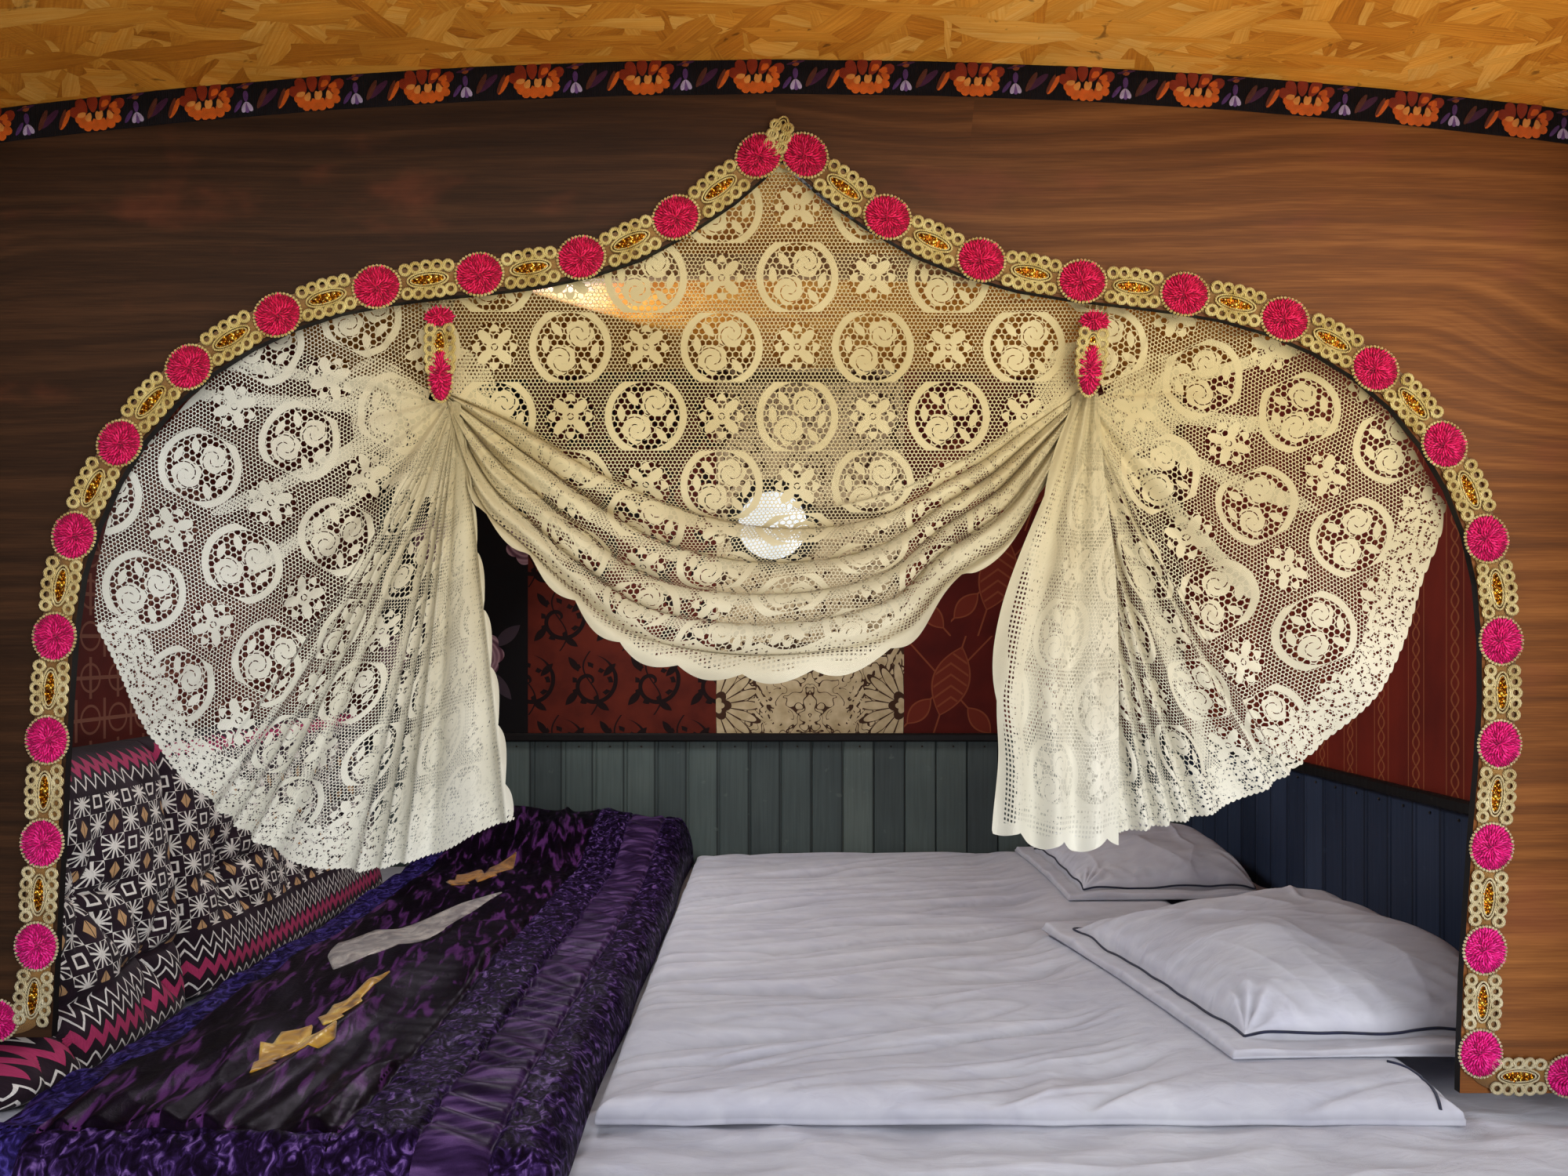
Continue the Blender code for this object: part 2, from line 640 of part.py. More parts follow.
def hinge(side, sign, edge, low, high):
    """A long hinge: a leaf on the bed front and one on the door, with knuckles in turn."""
    axis_x = sign * (edge - DOOR_CLEARANCE / 2)
    leaf_y = (FRAME_Y - SEAT - HINGE_PLATE, FRAME_Y - SEAT)
    axis_y = leaf_y[0] - SEAT - HINGE_RADIUS
    pitch = (high - low) / HINGE_KNUCKLES
    for name, way, first in ((f"hinge_fixed_{side}", sign, 0), (f"hinge_door_{side}", -sign, 1)):
        xs = sorted((axis_x + way * HINGE_SLACK, axis_x + way * HINGE_LEAF))
        body = box(name, (xs[0], leaf_y[0], low), (xs[1], leaf_y[1], high), brass())
        webs = sorted((axis_x + way * HINGE_SLACK, axis_x + way * HINGE_RADIUS))
        for k in range(first, HINGE_KNUCKLES, 2):
            a, b = low + pitch * k + SEAT, low + pitch * (k + 1) - SEAT
            barrel = rod("knuckle", HINGE_RADIUS, (axis_x, axis_y, a), (axis_x, axis_y, b), "Z", brass(), 10)
            combine(body, barrel, "UNION")
            web = box("web", (webs[0], axis_y, a), (webs[1], (leaf_y[0] + leaf_y[1]) / 2, b), brass())
            combine(body, web, "UNION")


def knob(side, x, z):
    """A turned knob: a stem seated on the door and a round head."""
    radius, reach = KNOB_RADIUS, KNOB_REACH
    profile = [(0.0, reach), (0.45 * radius, 0.97 * reach), (0.85 * radius, 0.85 * reach),
               (radius, 0.62 * reach), (0.8 * radius, 0.42 * reach), (0.4 * radius, 0.25 * reach),
               (0.6 * radius, 0.0), (0.0, 0.0)]
    mesh = bpy.data.meshes.new("knob profile")
    mesh.from_pydata([(r, 0.0, h) for r, h in profile], [(i, i + 1) for i in range(len(profile) - 1)], [])
    obj = bpy.data.objects.new(f"knob_{side}", mesh)
    parts.objects.link(obj)
    mesh.materials.append(brass())
    turn = obj.modifiers.new("turned", "SCREW")
    turn.steps = 12
    turn.render_steps = 12
    turn.use_merge_vertices = True
    turn.merge_threshold = 0.0001
    obj.location = (x, FRAME_Y - SEAT, z)
    obj.rotation_euler = (math.pi / 2, 0.0, 0.0)


def soft_block(name, shape, finish, cuts=4):
    """A closed soft form: a divided cube whose points are placed by shape(u, v, w), each -1 to 1."""
    bm = bmesh.new()
    bmesh.ops.create_cube(bm, size=2.0)
    bmesh.ops.subdivide_edges(bm, edges=bm.edges, cuts=cuts, use_grid_fill=True)
    for vert in bm.verts:
        vert.co = shape(*vert.co)
    obj = mesh_object(name, bm, finish)
    obj.data.shade_smooth()
    return obj


def span(low, high, share):
    """The place between two limits for a share that runs from -1 to 1."""
    return low + (high - low) * (share + 1) / 2


def rounded(u, v, power=6):
    """1 in the middle of a soft piece, falling off at its rim."""
    return (1 - abs(u) ** power) ** 0.5 * (1 - abs(v) ** power) ** 0.5


def pulled_in(x_limits, y_limits, u, v, pull=0.018):
    """Sides that pull in between the corners."""
    x = span(*x_limits, u) - math.copysign(pull * (1 - v * v), u) * abs(u) ** 4
    y = span(*y_limits, v) - math.copysign(pull * (1 - u * u), v) * abs(v) ** 4
    return x, y


def bedding():
    mattress_and_duvet()
    pillows()
    quilt()
    wall_pads()


def mattress_and_duvet():
    half = HALF_WIDTH - MATTRESS_SIDE_GAP
    start, end = FRAME_BACK_Y + SEAT, END_WALL_Y - MATTRESS_SIDE_GAP
    box("mattress", (-half, start, DECK_TOP + SEAT), (half, end, MATTRESS_TOP), white_cotton(), 0.020)

    def duvet(u, v, w):
        x, y = pulled_in((DUVET_LEFT * HALF_WIDTH, DUVET_RIGHT * HALF_WIDTH),
                         (SCREEN_Y - DUVET_REACH, END_WALL_Y - BEDDING_GAP), u, v, 0.004)
        thick = 0.012 + (DUVET_THICKNESS - 0.012) * rounded(u, v, 14)
        return x, y, MATTRESS_TOP + SEAT + thick * (w + 1) / 2

    soft_block("duvet", duvet, white_cotton(), 5)


def pillows():
    """Two pillows along the right wall, each with a flat border."""
    base = MATTRESS_TOP + DUVET_THICKNESS + 2 * SEAT
    for name, across, start, end, skew in PILLOWS:
        left, near, far = across * HALF_WIDTH, SCREEN_Y + start * SCREEN_TO_END_WALL, SCREEN_Y + end * SCREEN_TO_END_WALL

        def pillow(u, v, w):
            x, y = pulled_in((left, HALF_WIDTH - BEDDING_GAP), (near, far), u, v)
            inside = max(0.0, 1 - max(abs(u), abs(v)) ** 3) ** 0.6
            thick = 0.008 + PILLOW_THICKNESS * inside
            return x - skew * v * (1 - u) / 2, y, base + thick * (w + 1) / 2

        soft_block(name, pillow, white_cotton(), 6)


def quilt():
    """The folded quilt over the left half of the bed, heaped at the end wall."""
    left, right = PAD_DEPTH + 0.050 - HALF_WIDTH, DUVET_LEFT * HALF_WIDTH - 0.006

    def form(u, v, w):
        x, y = pulled_in((left, right), (FRAME_BACK_Y + BEDDING_GAP, END_WALL_Y - BEDDING_GAP), u, v, 0.006)
        heap = 0.085 * max(0.0, v - 0.55) / 0.45
        thick = 0.014 + (QUILT_THICKNESS - 0.014 + heap) * rounded(u, v)
        return x, y, MATTRESS_TOP + SEAT + thick * (w + 1) / 2

    soft_block("quilt", form, purple_velvet(), 7)


def wall_pads():
    """Two pads on edge along the left wall. The front one's end swells out under the screen."""
    back = -HALF_WIDTH + DADO_RAIL_DEPTH + 2 * SEAT
    base = MATTRESS_TOP + SEAT
    front = SCREEN_BACK_Y + CLEAT + BEDDING_GAP
    seam, rear = (SCREEN_Y + share * SCREEN_TO_END_WALL for share in PAD_JOINTS)
    levels = (0.0, 0.085, 0.185, 0.215, 0.62, 1.0)
    rows = (("wall_pad_front", front, seam - SEAT, PAD_TOE), ("wall_pad_rear", seam + SEAT, rear, 0.0))
    for name, start, end, toe in rows:

        def pad(u, v, w):
            level = round((v + 1) * 2.5)
            near = start - (toe if level < 3 else 0.0)
            y = span(near, end, u)
            z = base + PAD_HEIGHT * levels[level]
            lean = 0.070 * levels[level]
            full = (1 - abs(u) ** 8) ** 0.5 * (0.35 if level in (0, 5) else 1.0)
            face = 0.030 + (PAD_DEPTH - 0.030 - lean) * full
            return back + face * (w + 1) / 2, y, z

        obj = soft_block(name, pad, ikat_cloth(), 4)
        flip_outwards(obj)


def flip_outwards(obj):
    bm = bmesh.new()
    bm.from_mesh(obj.data)
    bmesh.ops.recalc_face_normals(bm, faces=bm.faces)
    bm.to_mesh(obj.data)
    bm.free()


# Free edges of the lace in the arch's shares, from the arch round to the inner tail
LEFT_HEM = [(-0.822, 0.563), (-0.832, 0.462), (-0.750, 0.340), (-0.609, 0.237), (-0.495, 0.221), (-0.404, 0.241),
            (-0.321, 0.272)]
RIGHT_HEM = [(0.811, 0.608), (0.806, 0.583), (0.766, 0.456), (0.654, 0.338), (0.531, 0.279), (0.374, 0.244),
             (0.255, 0.260)]
SWAG_HEM = [(-0.379, 0.669), (-0.320, 0.545), (-0.220, 0.456), (-0.093, 0.417), (0.037, 0.413),
            (0.159, 0.449), (0.252, 0.525), (0.350, 0.673)]
SWAG_TOP = [(-0.383, 0.783), (-0.187, 0.814), (-0.065, 0.867), (0.000, 0.916), (0.065, 0.867),
            (0.187, 0.814), (0.353, 0.783)]
FAN_FOLDS = 7
SWAG_FOLDS = 4
FOLD_DEPTH = 0.022
LACE_TUCK = 0.012


def lace_sheet(name, columns, rows, place):
    """A thin sheet of lace from a grid whose points are placed by place(s, t), each 0 to 1."""
    bm = bmesh.new()
    bmesh.ops.create_grid(bm, x_segments=columns, y_segments=rows, size=0.5)
    for vert in bm.verts:
        vert.co = place(vert.co.x + 0.5, vert.co.y + 0.5)
    bmesh.ops.recalc_face_normals(bm, faces=bm.faces)
    obj = mesh_object(name, bm, lace_cotton())
    body = obj.modifiers.new("cloth", "SOLIDIFY")
    body.thickness = LACE_THICKNESS
    body.offset = 0.0
    return obj


def fan(name, tie, edge):
    """A side drape: it spreads from its tie to the arch and to its free hem."""
    def place(s, t):
        x, z = smooth_path(edge, s)
        radial = 0.05 + 0.95 * t
        fold = FOLD_DEPTH * (0.35 + 0.65 * s) * (1 - math.cos(2 * math.pi * FAN_FOLDS * s)) / 2
        y = LACE_Y + fold * min(1.0, 3 * radial) * (0.3 if s < 0.4 else 1.0)
        return tie[0] + (x - tie[0]) * radial, y, tie[1] + (z - tie[1]) * radial

    lace_sheet(name, 4 * FAN_FOLDS, 4, place)


def lace():
    """Two side drapes and the swag between their ties."""
    for side, tie, hem in (("left", LEFT_TIE, LEFT_HEM), ("right", RIGHT_TIE, RIGHT_HEM)):
        tie, edge = placed(tie), [placed(share) for share in hem]
        reach = edge[0][0] - tie[0]
        xs = [tie[0] + reach * share for share in (0.05, 0.30, 0.57, 0.82)]
        above = [(x, arch_height(x) + LACE_TUCK) for x in xs]
        fan(f"lace_{side}", tie, [*above, *edge])
    top_edge, low_edge = [placed(share) for share in SWAG_TOP], [placed(share) for share in SWAG_HEM]

    def swag(s, t):
        top, low = smooth_path(top_edge, s), smooth_path(low_edge, s)
        x = top[0] + (low[0] - top[0]) * t
        z = top[1] + (low[1] - top[1]) * t
        folded = max(0.0, t - 0.45) / 0.55
        y = LACE_Y + FOLD_DEPTH * (1 - math.cos(2 * math.pi * SWAG_FOLDS * folded)) / 2
        return x, y, z

    lace_sheet("lace_swag", 18, 20, swag)


def main():
    clear_scene()
    floor()
    walls()
    roof()
    screen()
    trimmings()
    bed_base()
    doors()
    bedding()
    lace()


main()
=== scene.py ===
"""Looks of the living wagon's bed-place: boards, papers, lace, braid, ribbon and bedding.

Metres, +Z up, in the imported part's own frame: X across the wagon, +Y towards its end wall.
"""

import functools
import math

import bmesh
import bpy
import numpy as np
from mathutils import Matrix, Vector


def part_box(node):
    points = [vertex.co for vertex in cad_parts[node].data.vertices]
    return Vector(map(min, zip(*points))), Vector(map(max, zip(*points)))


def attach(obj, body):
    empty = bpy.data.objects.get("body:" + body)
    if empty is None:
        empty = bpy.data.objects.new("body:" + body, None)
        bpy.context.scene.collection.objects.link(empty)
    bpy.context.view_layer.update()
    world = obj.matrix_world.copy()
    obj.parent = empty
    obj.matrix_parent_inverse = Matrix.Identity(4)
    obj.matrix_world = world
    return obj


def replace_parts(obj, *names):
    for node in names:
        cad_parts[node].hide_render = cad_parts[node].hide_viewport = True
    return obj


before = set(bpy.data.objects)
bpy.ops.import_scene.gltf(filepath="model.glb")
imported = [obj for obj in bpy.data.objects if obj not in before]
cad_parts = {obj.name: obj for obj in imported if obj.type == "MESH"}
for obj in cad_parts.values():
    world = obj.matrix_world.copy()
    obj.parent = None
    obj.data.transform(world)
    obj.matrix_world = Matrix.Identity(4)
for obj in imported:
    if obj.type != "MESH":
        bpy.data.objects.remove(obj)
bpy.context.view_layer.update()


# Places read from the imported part

def low(node):
    return Vector(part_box(node)[0])


def high(node):
    return Vector(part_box(node)[1])


HALF_WIDTH = high("arch_screen").x
SCREEN_FRONT = low("arch_screen").y
SCREEN_BACK = high("arch_screen").y
END_WALL = low("wainscot_end").y
BED_TOP = high("mattress").z
ROOF_RISE = 0.0829
CROWN = low("roof_boards_front").z + ROOF_RISE
HEADROOM = CROWN - BED_TOP
BOARD_PITCH = 0.083
INTO_WALL = 0.007

# The photograph's viewpoint
EYE = Vector((0.006, SCREEN_FRONT - 1.468, BED_TOP + 0.592))
LENS = 27.0
HORIZON_SHIFT = 0.0325


# Objects

def add_object(name, data):
    made = bpy.data.objects.new(name, data)
    bpy.context.scene.collection.objects.link(made)
    return made


def plain_piece(maker, name, material):
    """Keeps what a maker object shows as a plain mesh, with one material, on the bed-place."""
    bpy.context.view_layer.update()
    mesh = bpy.data.meshes.new_from_object(maker.evaluated_get(bpy.context.evaluated_depsgraph_get()))
    bpy.data.objects.remove(maker)
    mesh.name = name
    mesh.materials.clear()
    mesh.materials.append(material)
    piece = add_object(name, mesh)
    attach(piece, "bed_place")
    return piece


def keep_numbers(mesh, name, numbers):
    """Keeps a number for each vertex, for the material to read."""
    kept = mesh.attributes.new(name, "FLOAT", "POINT")
    kept.data.foreach_set("value", np.ascontiguousarray(numbers).ravel())


def keep_cloth(mesh, cloth):
    """Keeps each vertex's place on the flat cloth, in metres, as the mesh's UV map."""
    corners = np.empty(len(mesh.loops), dtype=np.int32)
    mesh.loops.foreach_get("vertex_index", corners)
    mesh.uv_layers.new(name="cloth").data.foreach_set("uv", cloth.reshape(-1, 2)[corners].ravel())


def grid_faces(rows, columns):
    """The quads between the points of a grid, and the ring of points at its border."""
    index = np.arange(rows * columns).reshape(rows, columns)
    quads = np.stack([index[:-1, :-1], index[:-1, 1:], index[1:, 1:], index[1:, :-1]], axis=-1)
    border = [*index[0, :-1], *index[:-1, -1], *index[-1, :0:-1], *index[:0:-1, 0]]
    return quads.reshape(-1, 4), border


def closed_mesh(name, verts, faces, material):
    mesh = bpy.data.meshes.new(name)
    mesh.from_pydata(verts, [], faces)
    shape = bmesh.new()
    shape.from_mesh(mesh)
    bmesh.ops.recalc_face_normals(shape, faces=shape.faces)
    shape.to_mesh(mesh)
    shape.free()
    mesh.shade_smooth()
    mesh.materials.append(material)
    return mesh


# Patterns as arithmetic on shader sockets

class Field:
    """A number that varies over a surface. Its arithmetic is written as Math nodes."""

    def __init__(self, tree, socket):
        self.tree = tree
        self.socket = socket

    def math(self, operation, *others):
        node = self.tree.nodes.new("ShaderNodeMath")
        node.operation = operation
        self.tree.links.new(self.socket, node.inputs[0])
        for place, other in enumerate(others, 1):
            if isinstance(other, Field):
                self.tree.links.new(other.socket, node.inputs[place])
            else:
                node.inputs[place].default_value = other
        return Field(self.tree, node.outputs[0])

    def __add__(self, other):
        return self.math("ADD", other)

    __radd__ = __add__

    def __sub__(self, other):
        return self.math("SUBTRACT", other)

    def __rsub__(self, other):
        return self.math("MULTIPLY", -1.0) + other

    def __mul__(self, other):
        return self.math("MULTIPLY", other)

    __rmul__ = __mul__

    def __truediv__(self, other):
        return self.math("DIVIDE", other)

    def __neg__(self):
        return self.math("MULTIPLY", -1.0)

    def above(self, edge):
        return self.math("GREATER_THAN", edge)

    def below(self, edge):
        return self.math("LESS_THAN", edge)

    def floor(self):
        return self.math("FLOOR")

    def fract(self):
        return self.math("FRACT")

    def abs(self):
        return self.math("ABSOLUTE")

    def sin(self):
        return self.math("SINE")

    def cos(self):
        return self.math("COSINE")

    def least(self, other):
        return self.math("MINIMUM", other)

    def most(self, other):
        return self.math("MAXIMUM", other)

    def angle_from(self, x):
        return self.math("ARCTAN2", x)

    def length(self, other):
        return (self * self + other * other).math("SQRT")

    def odd(self):
        return (self * 0.5).fract().above(0.25)

    def step(self, start, end):
        """0 before start, 1 after end, and smooth between them."""
        node = self.tree.nodes.new("ShaderNodeMapRange")
        node.interpolation_type = "SMOOTHSTEP"
        self.tree.links.new(self.socket, node.inputs[0])
        node.inputs[1].default_value = start
        node.inputs[2].default_value = end
        return Field(self.tree, node.outputs[0])

    def spread(self, start, end, low_value, high_value):
        node = self.tree.nodes.new("ShaderNodeMapRange")
        self.tree.links.new(self.socket, node.inputs[0])
        for place, number in enumerate((start, end, low_value, high_value), 1):
            node.inputs[place].default_value = number
        return Field(self.tree, node.outputs[0])


class Finish:
    """A material in the making: its coordinates, its patterns and its Principled shader."""

    def __init__(self, name, roughness=0.6, **constants):
        self.material = bpy.data.materials.new(name)
        self.material.use_nodes = True
        self.tree = self.material.node_tree
        self.shader = self.tree.nodes["Principled BSDF"]
        self.shader.inputs["Roughness"].default_value = roughness
        self.shader.inputs["Specular IOR Level"].default_value = 0.16
        for socket, number in constants.items():
            self.shader.inputs[socket.replace("_", " ")].default_value = number

    def split(self, socket):
        node = self.tree.nodes.new("ShaderNodeSeparateXYZ")
        self.tree.links.new(socket, node.inputs[0])
        return [Field(self.tree, out) for out in node.outputs]

    def place(self):
        """The object's own x, y and z in metres."""
        return self.split(self.tree.nodes.new("ShaderNodeTexCoord").outputs["Object"])

    def facing(self):
        """The surface's direction in x, y and z."""
        return self.split(self.tree.nodes.new("ShaderNodeTexCoord").outputs["Normal"])

    def cloth_place(self):
        """The piece's own UV map, which is in metres of cloth."""
        return self.split(self.tree.nodes.new("ShaderNodeTexCoord").outputs["UV"])[:2]

    def attribute(self, name, colour=False):
        node = self.tree.nodes.new("ShaderNodeAttribute")
        node.attribute_name = name
        return node.outputs["Color"] if colour else Field(self.tree, node.outputs["Fac"])

    def at(self, x, y, z):
        node = self.tree.nodes.new("ShaderNodeCombineXYZ")
        for place, value in enumerate((x, y, z)):
            if isinstance(value, Field):
                self.tree.links.new(value.socket, node.inputs[place])
            else:
                node.inputs[place].default_value = value
        return node.outputs[0]

    def noise(self, x, y, z=0.0, detail=3.0, distortion=0.0):
        node = self.tree.nodes.new("ShaderNodeTexNoise")
        self.tree.links.new(self.at(x, y, z), node.inputs["Vector"])
        node.inputs["Scale"].default_value = 1.0
        node.inputs["Detail"].default_value = detail
        node.inputs["Distortion"].default_value = distortion
        return Field(self.tree, node.outputs[0])

    def chance(self, x, y, z=0.0):
        """A plain random number for each whole-numbered place."""
        node = self.tree.nodes.new("ShaderNodeTexWhiteNoise")
        self.tree.links.new(self.at(x, y, z), node.inputs["Vector"])
        return Field(self.tree, node.outputs["Value"])

    def cells(self, x, y, z=0.0, feature="F1", jitter=1.0):
        """Voronoi cells of size 1: the distance and a random number for each cell."""
        node = self.tree.nodes.new("ShaderNodeTexVoronoi")
        node.feature = feature
        self.tree.links.new(self.at(x, y, z), node.inputs["Vector"])
        node.inputs["Scale"].default_value = 1.0
        node.inputs["Randomness"].default_value = jitter
        distance = Field(self.tree, node.outputs["Distance"])
        if feature != "F1":
            return distance, None
        return distance, self.split(node.outputs["Color"])[0]

    def ramp(self, field, *stops):
        """A colour ramp from (place, colour) stops."""
        node = self.tree.nodes.new("ShaderNodeValToRGB")
        self.tree.links.new(field.socket, node.inputs[0])
        line = node.color_ramp
        while len(line.elements) < len(stops):
            line.elements.new(0.5)
        for element, (place, colour) in zip(line.elements, stops):
            element.position = place
            element.color = (*linear(colour), 1.0)
        return node.outputs[0]

    def mix(self, mask, under, over):
        """Lays one colour over another where the mask is 1."""
        node = self.tree.nodes.new("ShaderNodeMix")
        node.data_type = "RGBA"
        if isinstance(mask, Field):
            self.tree.links.new(mask.socket, node.inputs[0])
        else:
            node.inputs[0].default_value = mask
        for place, colour in ((6, under), (7, over)):
            if isinstance(colour, tuple):
                node.inputs[place].default_value = (*linear(colour), 1.0)
            else:
                self.tree.links.new(colour, node.inputs[place])
        return node.outputs[2]

    def dim(self, colour, field):
        """Multiplies a colour by a number."""
        node = self.tree.nodes.new("ShaderNodeVectorMath")
        node.operation = "SCALE"
        self.tree.links.new(colour, node.inputs[0])
        self.tree.links.new(field.socket, node.inputs["Scale"])
        return node.outputs[0]

    def paint(self, colour):
        self.tree.links.new(colour, self.shader.inputs["Base Color"])

    def gloss(self, field):
        self.tree.links.new(field.socket, self.shader.inputs["Roughness"])

    def holes(self, field):
        self.tree.links.new(field.socket, self.shader.inputs["Alpha"])

    def relief(self, field, depth, strength=1.0):
        """Bump of a depth in metres."""
        node = self.tree.nodes.new("ShaderNodeBump")
        node.inputs["Distance"].default_value = depth
        node.inputs["Strength"].default_value = strength
        self.tree.links.new(field.socket, node.inputs["Height"])
        self.tree.links.new(node.outputs[0], self.shader.inputs["Normal"])


def linear(colour):
    """A colour written in 0 to 255 steps as Blender's own linear values."""
    shares = [value / 255 for value in colour]
    return tuple(c / 12.92 if c <= 0.04045 else ((c + 0.055) / 1.055) ** 2.4 for c in shares)


# Finishes of the boards, papers and metal

def board_paint(name, axis, tints, outer=None):
    """Old paint on upright grooved boards that follow one another along X or Y."""
    finish = Finish(name, roughness=0.5)
    x, y, z = finish.place()
    along = x if axis == "X" else y
    count = along / BOARD_PITCH + 0.07
    board = count.floor()
    tone = finish.chance(board, 3.0)
    grain = finish.noise(along * 160.0, board * 7.3, z * 5.0, detail=3.0, distortion=0.6)
    fade = finish.noise(along * 2.2, z * 1.8, detail=4.0)
    spot, _ = finish.cells(along * 9.0, z * 3.1 + board * 0.37)
    knot = 1.0 - spot.step(0.05, 0.13)
    colour = finish.ramp(tone * 0.35 + fade * 0.65, (0.25, tints[0]), (0.55, tints[1]), (0.85, tints[2]))
    colour = finish.dim(colour, grain.spread(0.2, 0.8, 0.82, 1.16))
    colour = finish.mix(knot * 0.5, colour, tints[0])
    inside = count.fract()
    joint = 1.0 - inside.least(1.0 - inside).step(0.0, 0.055)
    colour = finish.mix(joint * 0.75, colour, tuple(int(c * 0.35) for c in tints[0]))
    scuff = finish.noise(along * 30.0, z * 30.0, 5.0, detail=5.0).step(0.66, 0.72)
    colour = finish.mix(scuff * 0.25, colour, tints[2])
    if outer:
        colour = outer_paint(finish, colour, outer(x, y), along, z)
    finish.paint(colour)
    finish.gloss(fade.spread(0.3, 0.7, 0.42, 0.6))
    finish.relief(grain, 0.0004)
    return finish.material


def plain_paint(name, tint, wear, roughness=0.45):
    """Brushed gloss paint with a little wear."""
    finish = Finish(name, roughness)
    x, y, z = finish.place()
    brush = finish.noise(x * 90.0, y * 90.0, z * 9.0, detail=4.0)
    fade = finish.noise(x * 3.0, y * 3.0, z * 3.0, detail=3.0)
    chip = finish.noise(x * 60.0, y * 60.0, z * 60.0, detail=4.0).step(0.68, 0.74)
    colour = finish.ramp(fade, (0.3, tuple(int(c * 0.82) for c in tint)), (0.7, tint))
    finish.paint(finish.mix(chip * 0.35, colour, wear))
    finish.gloss(brush.spread(0.3, 0.7, roughness - 0.1, roughness + 0.12))
    finish.relief(brush, 0.0004)
    return finish.material


def stained_ply():
    """Dark stained plywood: faint grain along X, ringed knots, black sawn edges, and painted light that makes
    it lighter towards +X.
    """
    finish = Finish("stained ply", 0.46)
    x, _, z = finish.place()
    spot, key = finish.cells(x * 2.2 + 0.4, z * 3.4 + 0.3)
    knotted = key.above(0.55)
    near = (1.0 - spot.step(0.0, 0.55)) * knotted
    bend = near * 0.060 + finish.noise(x * 1.1, z * 1.4, detail=2.0) * 0.10
    rings = finish.noise(x * 1.6, (z + bend) * 62.0, detail=4.0)
    fibre = finish.noise(x * 16.0, z * 520.0, detail=2.0)
    blotch = finish.noise(x * 3.0, z * 3.4, 4.0, detail=5.0)
    tone = rings * 0.55 + fibre * 0.25 + blotch * 0.20
    # Painted light: a shaded and a lit copy of the stain, mixed so that the lit one lies towards +X.
    dark = finish.ramp(tone, (0.34, (36, 22, 12)), (0.50, (50, 31, 17)), (0.66, (70, 44, 25)))
    light = finish.ramp(tone, (0.34, (84, 48, 20)), (0.50, (112, 65, 26)), (0.66, (142, 88, 40)))
    colour = finish.mix(x.step(-0.30, 0.95), dark, light)
    eye = (spot * 260.0).sin().above(0.2) * (1.0 - spot.step(0.03, 0.075)) * knotted
    colour = finish.mix(eye * 0.5, colour, (40, 26, 17))
    red = finish.noise(x * 5.0, z * 9.0, 8.0, detail=4.0).step(0.56, 0.72)
    colour = finish.mix(red * 0.35, colour, (120, 62, 38))
    _, facing, _ = finish.facing()
    colour = finish.mix(1.0 - facing.abs().step(0.4, 0.6), colour, (20, 17, 16))
    finish.paint(colour)
    finish.gloss(blotch.spread(0.3, 0.7, 0.52, 0.68))
    finish.relief(fibre, 0.0002)
    return finish.material


def strand_board():
    """Flat wood strands pressed in all directions, under orange varnish."""
    finish = Finish("strand board", 0.5)
    x, y, _ = finish.place()
    tone, edge = None, None
    for turn, seed in ((0.35, 0.0), (-0.9, 5.0), (1.35, 11.0), (2.2, 17.0), (0.0, 23.0)):
        a = x * math.cos(turn) + y * math.sin(turn)
        b = y * math.cos(turn) - x * math.sin(turn)
        sway = finish.noise(a * 7.0, b * 12.0, seed, detail=2.0)
        spot, key = finish.cells(a * 9.0 + sway * 0.5, b * 36.0 + sway * 1.6, seed)
        fibre = finish.noise(a * 14.0, b * 420.0, seed, detail=2.0)
        shade = key * 0.45 + fibre * 0.55
        if tone is None:
            tone, edge = shade, spot
        else:
            over = (key * 7.31).fract().above(0.66)
            tone = tone + (shade - tone) * over
            edge = edge + (spot - edge) * over
    fade = finish.noise(x * 3.0, y * 3.0, 9.0, detail=3.0)
    colour = finish.ramp(
        tone * 0.7 + fade * 0.3,
        (0.20, (158, 88, 22)), (0.38, (204, 124, 36)), (0.52, (228, 150, 50)), (0.66, (242, 174, 76)),
        (0.84, (250, 200, 116)),
    )
    dark = finish.noise(x * 30.0, y * 30.0, 3.0, detail=5.0, distortion=1.0).step(0.66, 0.74)
    colour = finish.mix(dark * 0.6, colour, (74, 40, 16))
    # Painted light: the boards are darker towards -X and lighter towards +X.
    colour = finish.dim(colour, x.spread(-1.1, 1.1, 0.72, 1.15))
    finish.paint(finish.dim(colour, edge.spread(0.0, 0.8, 1.05, 0.84)))
    finish.gloss(tone.spread(0.2, 0.8, 0.42, 0.6))
    finish.relief(shade, 0.0008)
    return finish.material


def timber(name, axis):
    """Planed softwood with its grain along one axis."""
    finish = Finish(name, 0.62)
    x, y, z = finish.place()
    run, side, rise = {"X": (x, y, z), "Y": (y, x, z), "Z": (z, x, y)}[axis]
    warp = finish.noise(run * 1.5, side * 9.0, rise * 9.0, detail=2.0) * 0.02
    rings = finish.noise(run * 0.9, (side + warp) * 60.0, rise * 60.0, detail=3.0)
    fibre = finish.noise(run * 12.0, side * 500.0, rise * 500.0, detail=1.0)
    spot, key = finish.cells(run * 2.1, side * 9.0, rise * 9.0)
    colour = finish.ramp(
        rings * 0.8 + fibre * 0.2, (0.3, (150, 112, 72)), (0.5, (190, 152, 106)), (0.72, (214, 182, 138)))
    knot = (1.0 - spot.step(0.06, 0.16)) * key.above(0.5)
    finish.paint(finish.mix(knot * 0.8, colour, (104, 66, 38)))
    finish.relief(fibre, 0.0003)
    return finish.material


